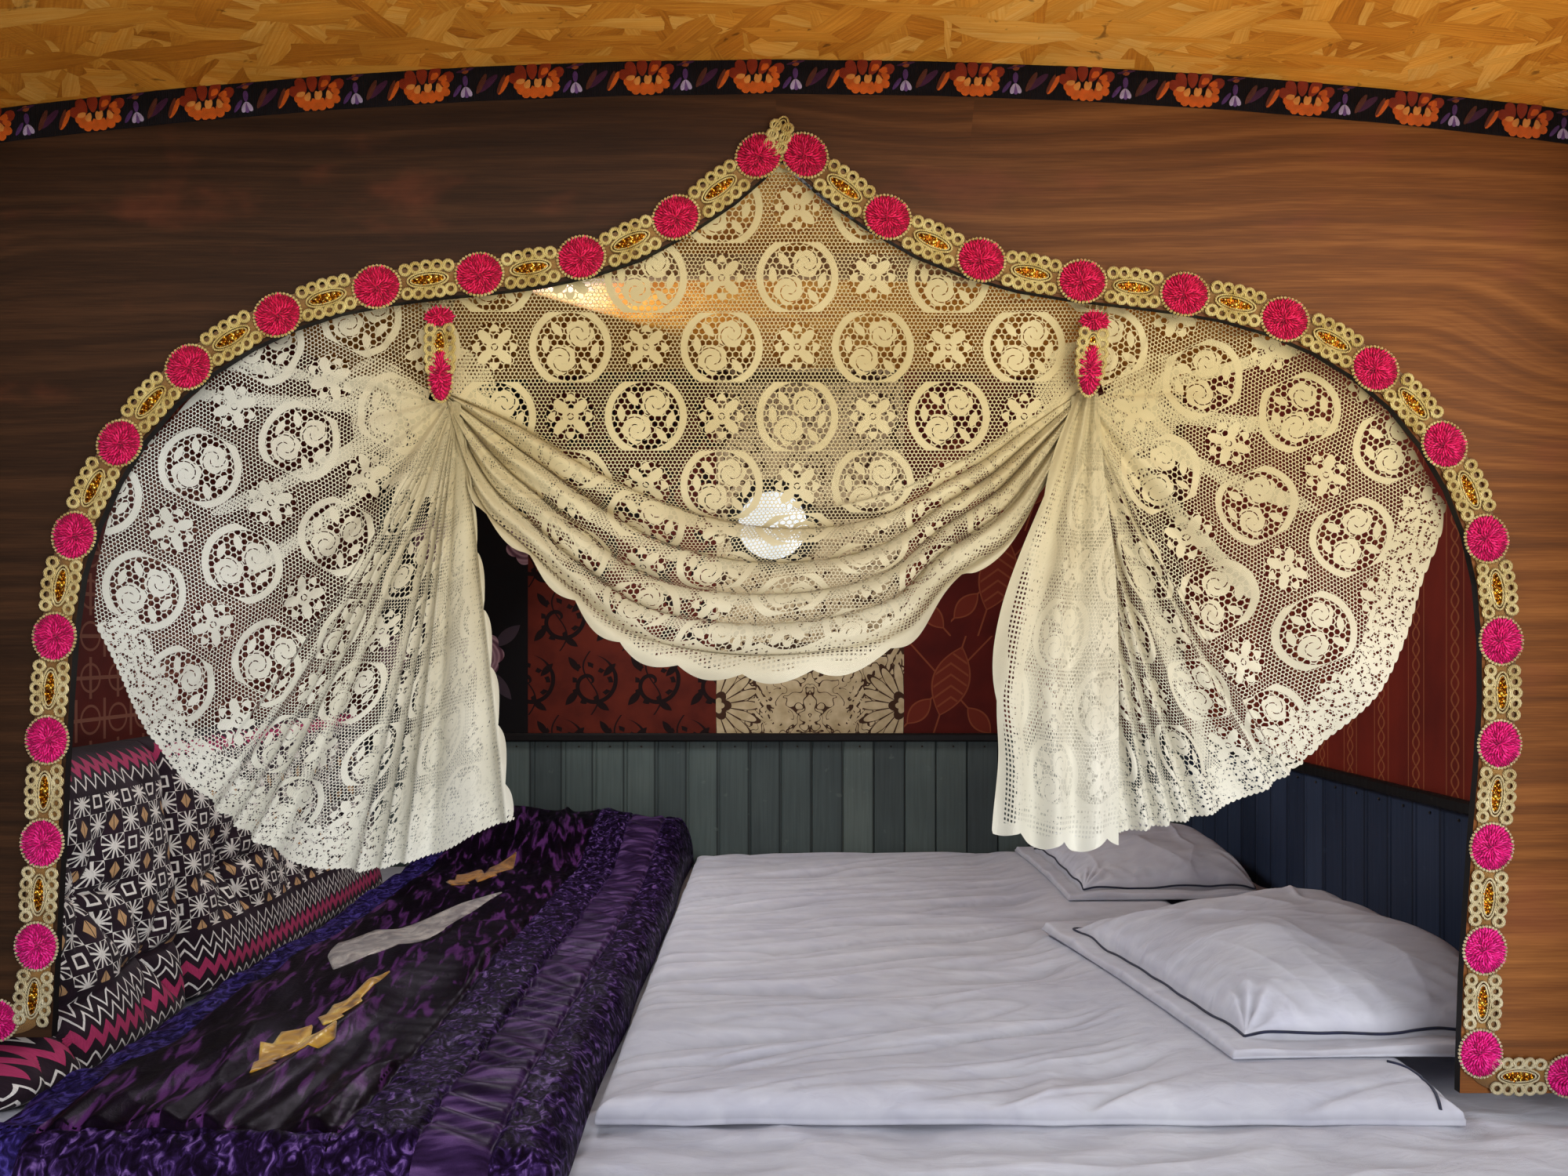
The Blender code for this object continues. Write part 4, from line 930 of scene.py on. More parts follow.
def lace_cotton():
    """Cotton lace: honeycomb net, ringed medallions with roses, small flowers and a scalloped edge."""
    finish = Finish("lace cotton", 0.9)
    u, v = finish.cloth_place()
    hem = finish.attribute("hem")
    pitch_u, pitch_v = 0.0955, 0.0875
    row = (v / pitch_v).floor()
    a = ((u / pitch_u).fract() - 0.5) * pitch_u
    b = ((v / pitch_v).fract() - 0.5) * pitch_v
    wide_a = (((u + (row.odd() - 0.5) * pitch_u) / (2 * pitch_u)).fract() - 0.5) * (2 * pitch_u)
    round_reach = wide_a.length(b)
    net = hexagons(u, v, 0.0052)
    coarse = hexagons(u, v, 0.0085)
    thread = net.step(0.35, 0.43)
    ladder = coarse.step(0.37, 0.44)
    ring = 1.0 - ((round_reach - 0.0475).abs()).step(0.0040, 0.0052)
    inside = 1.0 - round_reach.step(0.0425, 0.0435)
    solids = []
    for x, y, size, turn in ((0.012, -0.017, 0.0185, 0.0), (-0.011, 0.016, 0.0195, 2.0)):
        bloom = petals(wide_a - x, b - y, size, 5, 0.16, turn)
        slit = ((wide_a - x).length(b - y) * 620.0 + (b - y).angle_from(wide_a - x) * 2.0 + turn).sin()
        solids.append(bloom.below(1.0) * (1.0 - slit.above(0.90) * bloom.above(0.25)))
    for place in ((-0.017, -0.022, 0.9), (0.020, 0.024, 0.9), (0.031, 0.004, 1.9), (-0.031, -0.003, 1.5)):
        solids.append(leaf(wide_a, b, *place, 0.0115, 0.0050).above(0.0))
    in_ring = inside * most_of([*solids, ladder])
    medallion = ring.most(in_ring).most((1.0 - inside) * (1.0 - ring) * thread)
    flower = petals(a, b, 0.0285, 8, 0.42).below(1.0) * a.length(b).above(0.0045)
    dots = ((b.angle_from(a) * 4.0).cos().above(0.20)) * ((a.length(b) - 0.0150).abs()).below(0.0046)
    pip = a.length(b).below(0.0030)
    spray = (flower * (1.0 - dots)).most(pip)
    near_flower = a.length(b).below(0.031)
    small = spray.most((1.0 - near_flower) * thread).most(near_flower * ladder)
    big_ring = round_reach.below(0.052)
    ground = big_ring * medallion + (1.0 - big_ring) * small
    along_hem = u + v * 0.35
    wide_edge = finish.attribute("scalloped").above(0.5)
    scallop = (along_hem * (math.pi / 0.093)).sin().abs() * 0.014 - 0.014
    picot = (along_hem * (math.pi / 0.0085)).sin().abs() * 0.0024 - 0.0024
    edge = hem + wide_edge * scallop + (1.0 - wide_edge) * picot
    filet = ((u / 0.0062).fract() - 0.5).abs().most(((v / 0.0062).fract() - 0.5).abs()).above(0.27)
    band = edge.below(0.0045 + wide_edge * 0.0125)
    band = band.most(filet * wide_edge).most((edge - 0.056).abs().below(0.003) * wide_edge)
    sprigs = finish.noise(u * 150.0, v * 150.0, detail=2.0).above(0.46)
    band = band.most(thread * (1.0 - wide_edge)).most(sprigs * (1.0 - wide_edge).most(edge.above(0.034)))
    in_band = edge.below(0.059)
    alpha = in_band * band + (1.0 - in_band) * ground
    gathered = finish.attribute("gathered")
    second = hexagons(u * 1.12 + v * 0.10, v * 0.94, 0.0050).step(0.27, 0.36)
    shadow_ring = ((wide_a + 0.031).length(b - 0.02) - 0.044).abs().below(0.0055)
    second = second.most(shadow_ring).most((wide_a - 0.04).length(b + 0.01).below(0.026))
    third = ((u * 2000.0).sin() * 0.5 + finish.noise(u * 160.0, v * 30.0)).above(0.42)
    behind = (second * gathered.above(0.34)).most(third * gathered.above(0.58))
    back_threads_in_shade = behind * (1.0 - alpha.least(1.0))
    alpha = alpha.most(behind) * edge.above(0.0)
    finish.holes(alpha)
    x, _, z = finish.place()
    # Painted light: warmer, yellower lace where it hangs high on the left, for warm light falling there.
    warm_light_mask = z.step(BED_TOP + 0.25, BED_TOP + 0.95) * x.step(-0.80, -0.36)
    age = finish.noise(u * 7.0, v * 7.0, detail=3.0)
    cool = finish.ramp(age, (0.3, (216, 213, 198)), (0.7, (238, 236, 224)))
    warm = finish.ramp(age, (0.3, (204, 180, 124)), (0.7, (228, 207, 152)))
    colour = finish.mix(warm_light_mask, cool, warm)
    twist = (u * 3400.0 + (v * 900.0).sin()).sin() * (v * 3100.0).sin()
    # Painted shade: threads seen only in the layers behind are painted darker.
    finish.paint(finish.dim(colour, twist.spread(-1.0, 1.0, 0.88, 1.04) * (1.0 - back_threads_in_shade * 0.16)))
    finish.relief(twist, 0.0003)
    return finish.material


def hang(places, gap):
    """Moves a lace grid, whose y counts backwards from the screen, into its place."""
    places = places.copy()
    places[..., 1] = SCREEN_BACK + gap + places[..., 1]
    return places


def cut_from(cloth):
    """Works out the flat size and area of a lace piece's cloth, and keeps none of them."""
    across = cloth[1:, 1:] - cloth[:-1, :-1]
    other = cloth[1:, :-1] - cloth[:-1, 1:]
    area = 0.5 * float(np.abs(across[..., 0] * other[..., 1] - across[..., 1] * other[..., 0]).sum())
    places = cloth.reshape(-1, 2)
    width, length = (float(size) for size in places.max(axis=0) - places.min(axis=0))


EDGE = arch_edge()
FINE_EDGE = [tuple(place) for place in along_line(EDGE, np.linspace(0.0, 1.0, 900))]
LACE = lace_cotton()
LEFT_TIE = ((low("lace_strap_left").x + high("lace_strap_left").x) / 2, low("lace_strap_left").z)
RIGHT_TIE = ((low("lace_strap_right").x + high("lace_strap_right").x) / 2, low("lace_strap_right").z)
LEFT_HEM = above_bed([
    (-0.878, 0.607), (-0.843, 0.528), (-0.785, 0.450), (-0.716, 0.377), (-0.638, 0.318), (-0.550, 0.296),
    (-0.481, 0.305), (-0.423, 0.323), (-0.384, 0.345), (-0.337, 0.362)])
RIGHT_HEM = above_bed([
    (0.849, 0.763), (0.832, 0.685), (0.781, 0.558), (0.732, 0.489), (0.644, 0.416), (0.556, 0.372),
    (0.440, 0.344), (0.360, 0.350)])
SWAG_HEM = above_bed([
    (-0.416, 0.886), (-0.400, 0.800), (-0.376, 0.744), (-0.335, 0.704), (-0.266, 0.636), (-0.188, 0.572),
    (-0.070, 0.543), (0.057, 0.546), (0.155, 0.577), (0.213, 0.646), (0.292, 0.705), (0.338, 0.780),
    (0.384, 0.888)])
SWAG_FOLD = above_bed([
    (-0.430, 0.908), (-0.335, 0.872), (-0.235, 0.815), (-0.120, 0.772), (0.000, 0.755), (0.120, 0.768),
    (0.235, 0.820), (0.320, 0.872), (0.396, 0.914)])
TAIL_INNER = above_bed([
    (0.336, 0.802), (0.301, 0.705), (0.277, 0.619), (0.264, 0.528), (0.272, 0.440), (0.268, 0.347)])
TAIL_OUTER = above_bed([
    (0.410, 0.800), (0.422, 0.705), (0.427, 0.619), (0.428, 0.528), (0.428, 0.440), (0.428, 0.330)])


def edge_between(start, end, floor, tuck):
    """The part of the arch's edge between two x places and above a height, tucked up behind the screen."""
    return [(x, z + tuck) for x, z in FINE_EDGE if start < x < end and z > floor]


def hang_lace():
    left_edge = edge_between(-0.88, LEFT_TIE[0] + 0.012, LEFT_HEM[0][1], 0.010)[::-1]
    left = lace_fan(
        LEFT_TIE, left_edge, LEFT_HEM, -1.0, 34.0,
        ((46.0, 6.0, 0.020), (62.0, 9.0, 0.016), (84.0, 5.0, 0.010), (98.0, 6.0, 0.008)), 0.09, 0.12, 3)
    right_edge = edge_between(RIGHT_TIE[0] - 0.012, 0.86, RIGHT_HEM[0][1], 0.010)
    right = lace_fan(
        RIGHT_TIE, right_edge, RIGHT_HEM, 1.0, 30.0,
        ((42.0, 6.0, 0.022), (58.0, 7.0, 0.018), (76.0, 6.0, 0.012), (95.0, 6.0, 0.008)), 0.09, -0.10, 8)
    tail = lace_tail(
        ((RIGHT_TIE[0] - 0.014, RIGHT_TIE[1]), (RIGHT_TIE[0] + 0.014, RIGHT_TIE[1])), TAIL_INNER, TAIL_OUTER)
    swag_edge = edge_between(LEFT_TIE[0] - 0.026, RIGHT_TIE[0] + 0.026, BED_TOP + 0.55, 0.012)
    swag = lace_swag(LEFT_TIE, RIGHT_TIE, swag_edge, SWAG_FOLD, SWAG_HEM)
    pieces = []
    for name, made, gap in (("lace_drape_left", left, 0.0030), ("lace_drape_right", right, 0.0030),
                            ("lace_tail_right", (*tail, 1.0), 0.0030),
                            ("lace_swag_middle", (*swag, 1.0), 0.0006)):
        places, cloth, hem, gathered, scalloped = made
        pieces.append((cloth_mesh(name, hang(places, gap), cloth, hem, LACE, gathered, scalloped), cloth))
    (drape, _), (other, _), _, (middle, _) = pieces
    for piece, node in ((drape, "lace_left"), (other, "lace_right"), (middle, "lace_swag")):
        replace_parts(piece, node)
    for piece, cloth in pieces:
        cut_from(cloth)
        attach(piece, "bed_place")


hang_lace()


# Repeated pieces, made with Geometry Nodes

class Works:
    """A Geometry Nodes tree in the making, with its named sizes."""

    def __init__(self, name):
        self.tree = bpy.data.node_groups.new(name, "GeometryNodeTree")
        self.tree.interface.new_socket("Base", in_out="INPUT", socket_type="NodeSocketGeometry")
        self.tree.interface.new_socket("Result", in_out="OUTPUT", socket_type="NodeSocketGeometry")
        self.entry = self.tree.nodes.new("NodeGroupInput")
        self.sizes = {}

    @property
    def base(self):
        return self.entry.outputs["Base"]

    def size(self, name, value):
        """A named input of the tree, with the value that a piece uses unless it says otherwise."""
        kind = "NodeSocketInt" if isinstance(value, int) else "NodeSocketFloat"
        socket = self.tree.interface.new_socket(name, in_out="INPUT", socket_type=kind)
        self.sizes[name] = (socket.identifier, value)
        return Field(self.tree, self.entry.outputs[name])

    def add(self, kind, inputs=None, out=0, **settings):
        node = self.tree.nodes.new(kind)
        for setting, value in settings.items():
            setattr(node, setting, value)
        for place, value in (inputs or {}).items():
            for one in value if isinstance(value, list) else [value]:
                if isinstance(one, Field):
                    self.tree.links.new(one.socket, node.inputs[place])
                elif isinstance(one, bpy.types.NodeSocket):
                    self.tree.links.new(one, node.inputs[place])
                else:
                    node.inputs[place].default_value = one
        return node.outputs[out]

    def index(self):
        return Field(self.tree, self.add("GeometryNodeInputIndex"))

    def vector(self, x, y, z):
        return self.add("ShaderNodeCombineXYZ", {0: x, 1: y, 2: z})

    def chance(self, start, end, seed):
        inputs = {2: start, 3: end, "Seed": seed}
        return Field(self.tree, self.add("FunctionNodeRandomValue", inputs, out=1, data_type="FLOAT"))

    def spots(self, count, place):
        return self.add("GeometryNodePoints", {"Count": count, "Position": place})

    def copies(self, points, shape, rotation=None, scale=None):
        inputs = {"Points": points, "Instance": shape}
        if rotation is not None:
            inputs["Rotation"] = rotation
        if scale is not None:
            inputs["Scale"] = scale
        return self.add("GeometryNodeInstanceOnPoints", inputs)

    def tint(self, copies, value):
        """Gives each copy its own number for the material to read."""
        return self.add(
            "GeometryNodeStoreNamedAttribute", {"Geometry": copies, "Name": "tint", "Value": value},
            data_type="FLOAT", domain="INSTANCE")

    def frame(self, ahead, up):
        return self.add("FunctionNodeAxesToRotation", {0: up, 1: ahead}, primary_axis="Z", secondary_axis="X")

    def set_along(self, shape, count, place, ahead):
        """Sets copies of a shape at places, each turned to its direction, with its top to the front."""
        kept = self.add(
            "GeometryNodeStoreNamedAttribute",
            {"Geometry": self.spots(count, place), "Name": "ahead", "Value": ahead},
            data_type="FLOAT_VECTOR", domain="POINT")
        named = self.add("GeometryNodeInputNamedAttribute", {"Name": "ahead"}, data_type="FLOAT_VECTOR")
        return self.copies(kept, shape, self.frame(named, self.vector(0.0, -1.0, 0.0)))

    def base_curve(self):
        return self.add("GeometryNodeMeshToCurve", {0: self.base})

    def sample(self, length):
        """The place and the direction at a length along the base path."""
        inputs = {"Curves": self.base_curve(), "Length": length}
        settings = {"mode": "LENGTH", "use_all_curves": True}
        return [self.add("GeometryNodeSampleCurve", inputs, out, **settings) for out in (1, 2)]

    def ring(self, points, radius=1.0):
        return self.add("GeometryNodeCurvePrimitiveCircle", {"Resolution": points, "Radius": radius})

    def cord(self, line, thread):
        """A round cord along a curve."""
        return self.add("GeometryNodeCurveToMesh", {"Curve": line, "Profile Curve": self.ring(5, thread)})

    def ball(self, subdivisions, radius=1.0):
        return self.add("GeometryNodeMeshIcoSphere", {"Radius": radius, "Subdivisions": subdivisions})

    def moved(self, shape, **inputs):
        return self.add("GeometryNodeTransform", {0: shape, **inputs})

    def realized(self, shape):
        return self.add("GeometryNodeRealizeInstances", {0: shape})

    def turned(self, x, y, z):
        return self.add("FunctionNodeEulerToRotation", {0: self.vector(x, y, z)})

    def joined(self, *shapes):
        return self.add("GeometryNodeJoinGeometry", {0: list(shapes)})

    def end(self, geometry, material):
        smooth = self.add("GeometryNodeSetShadeSmooth", {0: self.realized(geometry)})
        painted = self.add("GeometryNodeSetMaterial", {0: smooth, "Material": material})
        self.tree.links.new(painted, self.tree.nodes.new("NodeGroupOutput").inputs[0])
        self.material = material

    def piece(self, name, base, sizes=None, slot=None):
        """Runs the tree on a base mesh and keeps the result as a plain mesh."""
        maker = add_object(name + "_maker", base)
        modifier = maker.modifiers.new("works", "NODES")
        modifier.node_group = self.tree
        for size, (identifier, value) in self.sizes.items():
            modifier[identifier] = (sizes or {}).get(size, value)
        return plain_piece(maker, name, self.material)


def line_mesh(points, y):
    """Edges through (x, z) points at one y, for a tree to follow."""
    mesh = bpy.data.meshes.new("path")
    places = [(float(x), y, float(z)) for x, z in points]
    mesh.from_pydata(places, [(i, i + 1) for i in range(len(places) - 1)], [])
    return mesh


def polyline_length(points):
    return float(np.hypot(*np.diff(np.array(points), axis=0).T).sum())


def braid_path():
    """The braid's middle line: beside the sawn edge, from wall to wall over the tip."""
    reach = 0.0225
    foot_left, foot_right = EDGE[0], EDGE[-1]
    edge = [(-HALF_WIDTH, foot_left[1]), *EDGE, (HALF_WIDTH, foot_right[1])]
    fine = along_line(edge, np.linspace(0.0, 1.0, 900))
    ahead = np.gradient(fine, axis=0)
    ahead /= np.hypot(*ahead.T)[:, None]
    beside = fine + reach * np.stack([-ahead[:, 1], ahead[:, 0]], axis=-1)
    apart = np.hypot(beside[:, None, 0] - fine[None, :, 0], beside[:, None, 1] - fine[None, :, 1]).min(axis=1)
    kept = beside[apart > 0.95 * reach]
    even = along_line(kept, np.linspace(0.0, 1.0, 700))
    padded = np.vstack([np.repeat(even[:1], 5, axis=0), even, np.repeat(even[-1:], 5, axis=0)])
    return np.stack([np.convolve(padded[:, k], np.ones(11) / 11, mode="valid") for k in (0, 1)], axis=-1)


def on_braid(works, motif, count, turn, first, pitch, gap):
    """Sets a motif at even steps along the base path, with its own step where the path turns at the tip."""
    index = works.index()
    place, ahead = works.sample(first + index * pitch + index.above(turn - 0.5) * gap)
    return works.set_along(motif, count, place, ahead)


SEED_TURN = 2.39996  # the turn from one seed to the next in a sunflower's head


def braid_steps(works):
    return (works.size("Count", 29), works.size("Turn after", 14), works.size("First", 0.03),
            works.size("Pitch", 0.132), works.size("Tip gap", 0.0))


def pile_works():
    """Rosettes of looped yarn that radiates from the middle."""
    works = Works("rosette pile")
    count, turn, first, pitch, gap = braid_steps(works)
    half_long, half_wide = works.size("Half length", 0.0298), works.size("Half width", 0.0262)
    loops = works.size("Loops", 190)
    index = works.index()
    angle = index * SEED_TURN
    share = (index / loops + 0.002).math("SQRT")
    reach = share * 0.90
    height = (1.0 - share * share) * 0.0052 + 0.0022
    place = works.vector(angle.cos() * reach * half_long, angle.sin() * reach * half_wide, height)
    spots = works.spots(loops, place)
    tip = works.ball(1)
    lean = works.chance(-0.30, 0.30, 4)
    rotation = works.turned(lean, share * 0.35 - 0.62 + lean, angle + lean)
    scale = works.vector(works.chance(0.0042, 0.0060, 5), 0.00105, 0.0013)
    tufts = works.tint(works.copies(spots, tip, rotation, scale), works.chance(0.0, 1.0, 6))
    dome_size = works.vector(half_long * 0.96, half_wide * 0.96, 0.0045)
    dome = works.moved(works.ball(3), Translation=(0.0, 0.0, 0.0012), Scale=dome_size)
    rosette = works.realized(works.joined(tufts, dome))
    works.end(on_braid(works, rosette, count, turn, first, pitch, gap), PILE)
    return works


def bead_works():
    """The gold beaded cord that edges each rosette."""
    works = Works("rosette rims")
    count, turn, first, pitch, gap = braid_steps(works)
    half_long, half_wide = works.size("Half length", 0.0298), works.size("Half width", 0.0262)
    beads = works.size("Beads", 40)
    angle = works.index() * (2 * math.pi) / beads
    place = works.vector(angle.cos() * half_long, angle.sin() * half_wide, 0.0022)
    rim = works.copies(works.spots(beads, place), works.ball(1, 0.0022), works.turned(0.0, 0.0, angle))
    works.end(on_braid(works, works.realized(rim), count, turn, first, pitch, gap), GOLD)
    return works


def link_works():
    """Between the rosettes: a row of crochet rings on each side, and two gold cords round an oval."""
    works = Works("braid links")
    count, turn, first, pitch, gap = braid_steps(works)
    rings, spacing = works.size("Rings a side", 5), works.size("Ring spacing", 0.0136)
    offset = works.size("Ring offset", 0.0164)
    ring = works.cord(works.ring(11, 0.0059), 0.0026)
    index = works.index()
    row = (index / rings).floor()
    column = index - row * rings
    middle = (rings - 1.0) * 0.5
    from_middle = (column - middle) * spacing
    bow = from_middle * from_middle * 2.2
    place = works.vector(from_middle, (row * 2.0 - 1.0) * (offset - bow), works.chance(0.0018, 0.0034, 3))
    rotation = works.turned(works.chance(-0.18, 0.18, 1), works.chance(-0.18, 0.18, 2), 0.0)
    links = works.copies(works.spots(rings * 2.0, place), ring, rotation)
    ovals = []
    for half_long, half_wide, thread in ((0.0255, 0.0098, 0.0013), (0.0215, 0.0068, 0.0011)):
        cord = works.cord(works.moved(works.ring(24), Scale=(half_long, half_wide, 1.0)), thread)
        ovals.append(works.moved(cord, Translation=(0.0, 0.0, 0.0032)))
    motif = works.realized(works.joined(links, works.joined(*ovals)))
    works.end(on_braid(works, motif, count, turn, first, pitch, gap), GOLD)
    return works


def sequin_works():
    """Orange-gold sequins sewn inside each link's oval."""
    works = Works("sequins")
    count, turn, first, pitch, gap = braid_steps(works)
    sequins = works.size("Sequins", 34)
    index = works.index()
    angle = index * SEED_TURN
    share = (index / sequins).math("SQRT")
    height = works.chance(0.0018, 0.0036, 9)
    place = works.vector(angle.cos() * share * 0.0205, angle.sin() * share * 0.0060, height)
    disc = works.add("GeometryNodeMeshCylinder", {"Vertices": 6, "Radius": 0.0026, "Depth": 0.0004})
    rotation = works.turned(works.chance(-0.75, 0.75, 10), works.chance(-0.75, 0.75, 11), angle)
    sewn = works.tint(works.copies(works.spots(sequins, place), disc, rotation), works.chance(0.0, 1.0, 12))
    floor = works.moved(works.ball(2), Translation=(0.0, 0.0, 0.0012), Scale=(0.0245, 0.0090, 0.0012))
    motif = works.realized(works.joined(sewn, floor))
    works.end(on_braid(works, motif, count, turn, first, pitch, gap), SEQUINS)
    return works


def ribbon_works():
    """The flat ribbon under the braid, swept along the base path."""
    works = Works("braid ribbon")
    width = works.size("Width", 0.036)
    outline = works.add("GeometryNodeCurvePrimitiveQuadrilateral", {0: 0.0009, 1: width})
    band = {"Curve": works.base_curve(), "Profile Curve": outline, "Fill Caps": True}
    works.end(works.add("GeometryNodeCurveToMesh", band), RIBBON)
    return works


def pile_yarn():
    """Magenta yarn: crimson high up and hotter pink towards the feet, which is painted light, warm above and
    daylight below.
    """
    finish = Finish("magenta yarn", 0.5, Sheen_Weight=0.12, Sheen_Roughness=0.4)
    x, y, z = finish.place()
    shade = finish.attribute("tint")
    fibre = finish.noise(x * 700.0, y * 700.0, z * 700.0, detail=3.0)
    # Painted light: crimson under warm light high up, hotter pink under daylight low down.
    painted_daylight = z.spread(BED_TOP + 0.2, BED_TOP + 1.0, 1.0, 0.0)
    tone = shade * 0.6 + fibre * 0.4
    crimson = finish.ramp(tone, (0.2, (136, 2, 36)), (0.5, (212, 8, 66)), (0.8, (244, 40, 96)))
    pink = finish.ramp(tone, (0.2, (152, 2, 80)), (0.5, (228, 10, 128)), (0.8, (252, 56, 164)))
    finish.paint(finish.mix(painted_daylight, crimson, pink))
    finish.relief(fibre, 0.0006)
    return finish.material


def gold_thread():
    """Gold crochet cord with its twist; it is painted warmer high up and paler, cooler low down, which is
    painted light.
    """
    finish = Finish("gold crochet", 0.42, Metallic=0.12, Sheen_Weight=0.1)
    x, y, z = finish.place()
    twist = ((x + z) * 2600.0 + (x - z) * 1500.0).sin()
    fade = finish.noise(x * 40.0, y * 40.0, z * 40.0, detail=3.0)
    # Painted light: warm gold high up, paler cool gold low down.
    painted_daylight = z.spread(BED_TOP + 0.1, BED_TOP + 0.9, 1.0, 0.0)
    tone = fade * 0.7 + twist * 0.15 + 0.15
    warm = finish.ramp(tone, (0.25, (150, 112, 40)), (0.5, (222, 192, 104)), (0.75, (246, 228, 160)))
    cool = finish.ramp(tone, (0.25, (150, 128, 88)), (0.5, (216, 200, 156)), (0.75, (242, 234, 206)))
    finish.paint(finish.mix(painted_daylight, warm, cool))
    finish.relief(twist, 0.0004)
    return finish.material


def sequin_foil():
    finish = Finish("sequin foil", 0.18, Metallic=0.9)
    x, y, z = finish.place()
    shade = finish.attribute("tint")
    grain = finish.noise(x * 300.0, y * 300.0, z * 300.0)
    finish.paint(finish.ramp(
        shade * 0.8 + grain * 0.2,
        (0.15, (122, 62, 10)), (0.4, (196, 118, 22)), (0.65, (230, 172, 44)), (0.9, (252, 228, 124))))
    finish.gloss(grain.spread(0.3, 0.7, 0.12, 0.34))
    return finish.material


def gold_ribbon():
    finish = Finish("gold ribbon", 0.5, Sheen_Weight=0.1)
    x, y, z = finish.place()
    weave = (x * 3200.0).sin() * (z * 3200.0).sin()
    fade = finish.noise(x * 20.0, y * 20.0, z * 20.0)
    finish.paint(finish.ramp(
        fade * 0.7 + weave * 0.2 + 0.1, (0.2, (104, 66, 30)), (0.5, (150, 108, 56)), (0.8, (186, 146, 84))))
    finish.relief(weave, 0.0003)
    return finish.material


PILE, GOLD, SEQUINS, RIBBON = pile_yarn(), gold_thread(), sequin_foil(), gold_ribbon()
TRIM_Y = SCREEN_FRONT - 0.0016
ROSETTE_PITCH = 0.1287
TIP_SPACE = 0.064
LEFT_ROSETTES, RIGHT_ROSETTES = 14, 15


def sew_braid():
    path = braid_path()
    base = line_mesh(path, TRIM_Y)
    tip = polyline_length(path[:int(np.argmax(path[:, 1])) + 1])
    first = tip - TIP_SPACE / 2 - (LEFT_ROSETTES - 1) * ROSETTE_PITCH
    gap = TIP_SPACE - ROSETTE_PITCH
    rosettes = {"Count": LEFT_ROSETTES + RIGHT_ROSETTES, "Turn after": LEFT_ROSETTES, "First": first,
                "Pitch": ROSETTE_PITCH, "Tip gap": gap}
    links = {"Count": LEFT_ROSETTES + RIGHT_ROSETTES - 2, "Turn after": LEFT_ROSETTES - 1,
             "First": first + ROSETTE_PITCH / 2, "Pitch": ROSETTE_PITCH, "Tip gap": TIP_SPACE}
    for works, name, sizes in (
            (PILE_WORKS, "braid_rosettes", rosettes), (BEAD_WORKS, "braid_rims", rosettes),
            (LINK_WORKS, "braid_links", links), (SEQUIN_WORKS, "braid_sequins", links),
            (RIBBON_WORKS, "braid_ribbon", {})):
        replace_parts(works.piece(name, base, sizes, BRAID_SLOT), "arch_braid")
    tip_x, tip_z = path[int(np.argmax(path[:, 1]))]
    top = line_mesh([(tip_x - 0.014, tip_z - 0.020), (tip_x + 0.006, tip_z + 0.040)], TRIM_Y - 0.001)
    LINK_WORKS.piece("tip_loops", top, {
        "Count": 1, "First": 0.032, "Rings a side": 3, "Ring spacing": 0.0125, "Ring offset": 0.0080},
        BRAID_SLOT)


def sew_straps():
    """On each tie a crimson tab, a gold link and a crimson teardrop."""
    for side, lean in (("left", 0.002), ("right", -0.010)):
        strap_low, strap_high = low(f"lace_strap_{side}"), high(f"lace_strap_{side}")
        middle, top, end = (strap_low.x + strap_high.x) / 2, strap_high.z - 0.012, strap_low.z - 0.010
        base = line_mesh([(middle - lean / 2, top), (middle + lean / 2, end)], TRIM_Y - 0.002)
        drop = {"First": top - end - 0.034, "Half length": 0.033}
        link = {"First": 0.052}
        for works, name, sizes in (
                (PILE_WORKS, "tab", {"First": 0.012, "Half length": 0.012, "Half width": 0.019, "Loops": 60}),
                (PILE_WORKS, "drop", {**drop, "Half width": 0.0145, "Loops": 120}),
                (BEAD_WORKS, "rim", {**drop, "Half width": 0.0150, "Beads": 34}),
                (LINK_WORKS, "link", {
                    **link, "Rings a side": 5, "Ring offset": 0.0125, "Ring spacing": 0.0122}),
                (SEQUIN_WORKS, "sequins", link)):
            one = {"Count": 1, "Turn after": 1, **sizes}
            piece = works.piece(f"strap_{name}_{side}", base, one, BRAID_SLOT)
            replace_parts(piece, f"lace_strap_{side}")


BRAID_SLOT = "rosette_braid"
PILE_WORKS, BEAD_WORKS, LINK_WORKS = pile_works(), bead_works(), link_works()
SEQUIN_WORKS, RIBBON_WORKS = sequin_works(), ribbon_works()
sew_braid()
sew_straps()


# Nails in the boards

def nail_works():
    """Domed nail heads at even steps along a base path."""
    works = Works("nail heads")
    count, pitch = works.size("Count", 24), works.size("Pitch", BOARD_PITCH)
    place, _ = works.sample((works.index() + 0.5) * pitch)
    head = works.ball(2, works.size("Radius", 0.0028))
    works.end(works.copies(works.spots(count, place), head), IRON)
    return works


def nail_iron():
    finish = Finish("nail iron", 0.45, Metallic=0.6)
    x, y, z = finish.place()
    rust = finish.noise(x * 500.0, y * 500.0, z * 500.0, detail=4.0)
    finish.paint(finish.ramp(rust, (0.35, (30, 28, 28)), (0.55, (70, 66, 62)), (0.7, (112, 84, 60))))
    finish.relief(rust, 0.0002)
    return finish.material


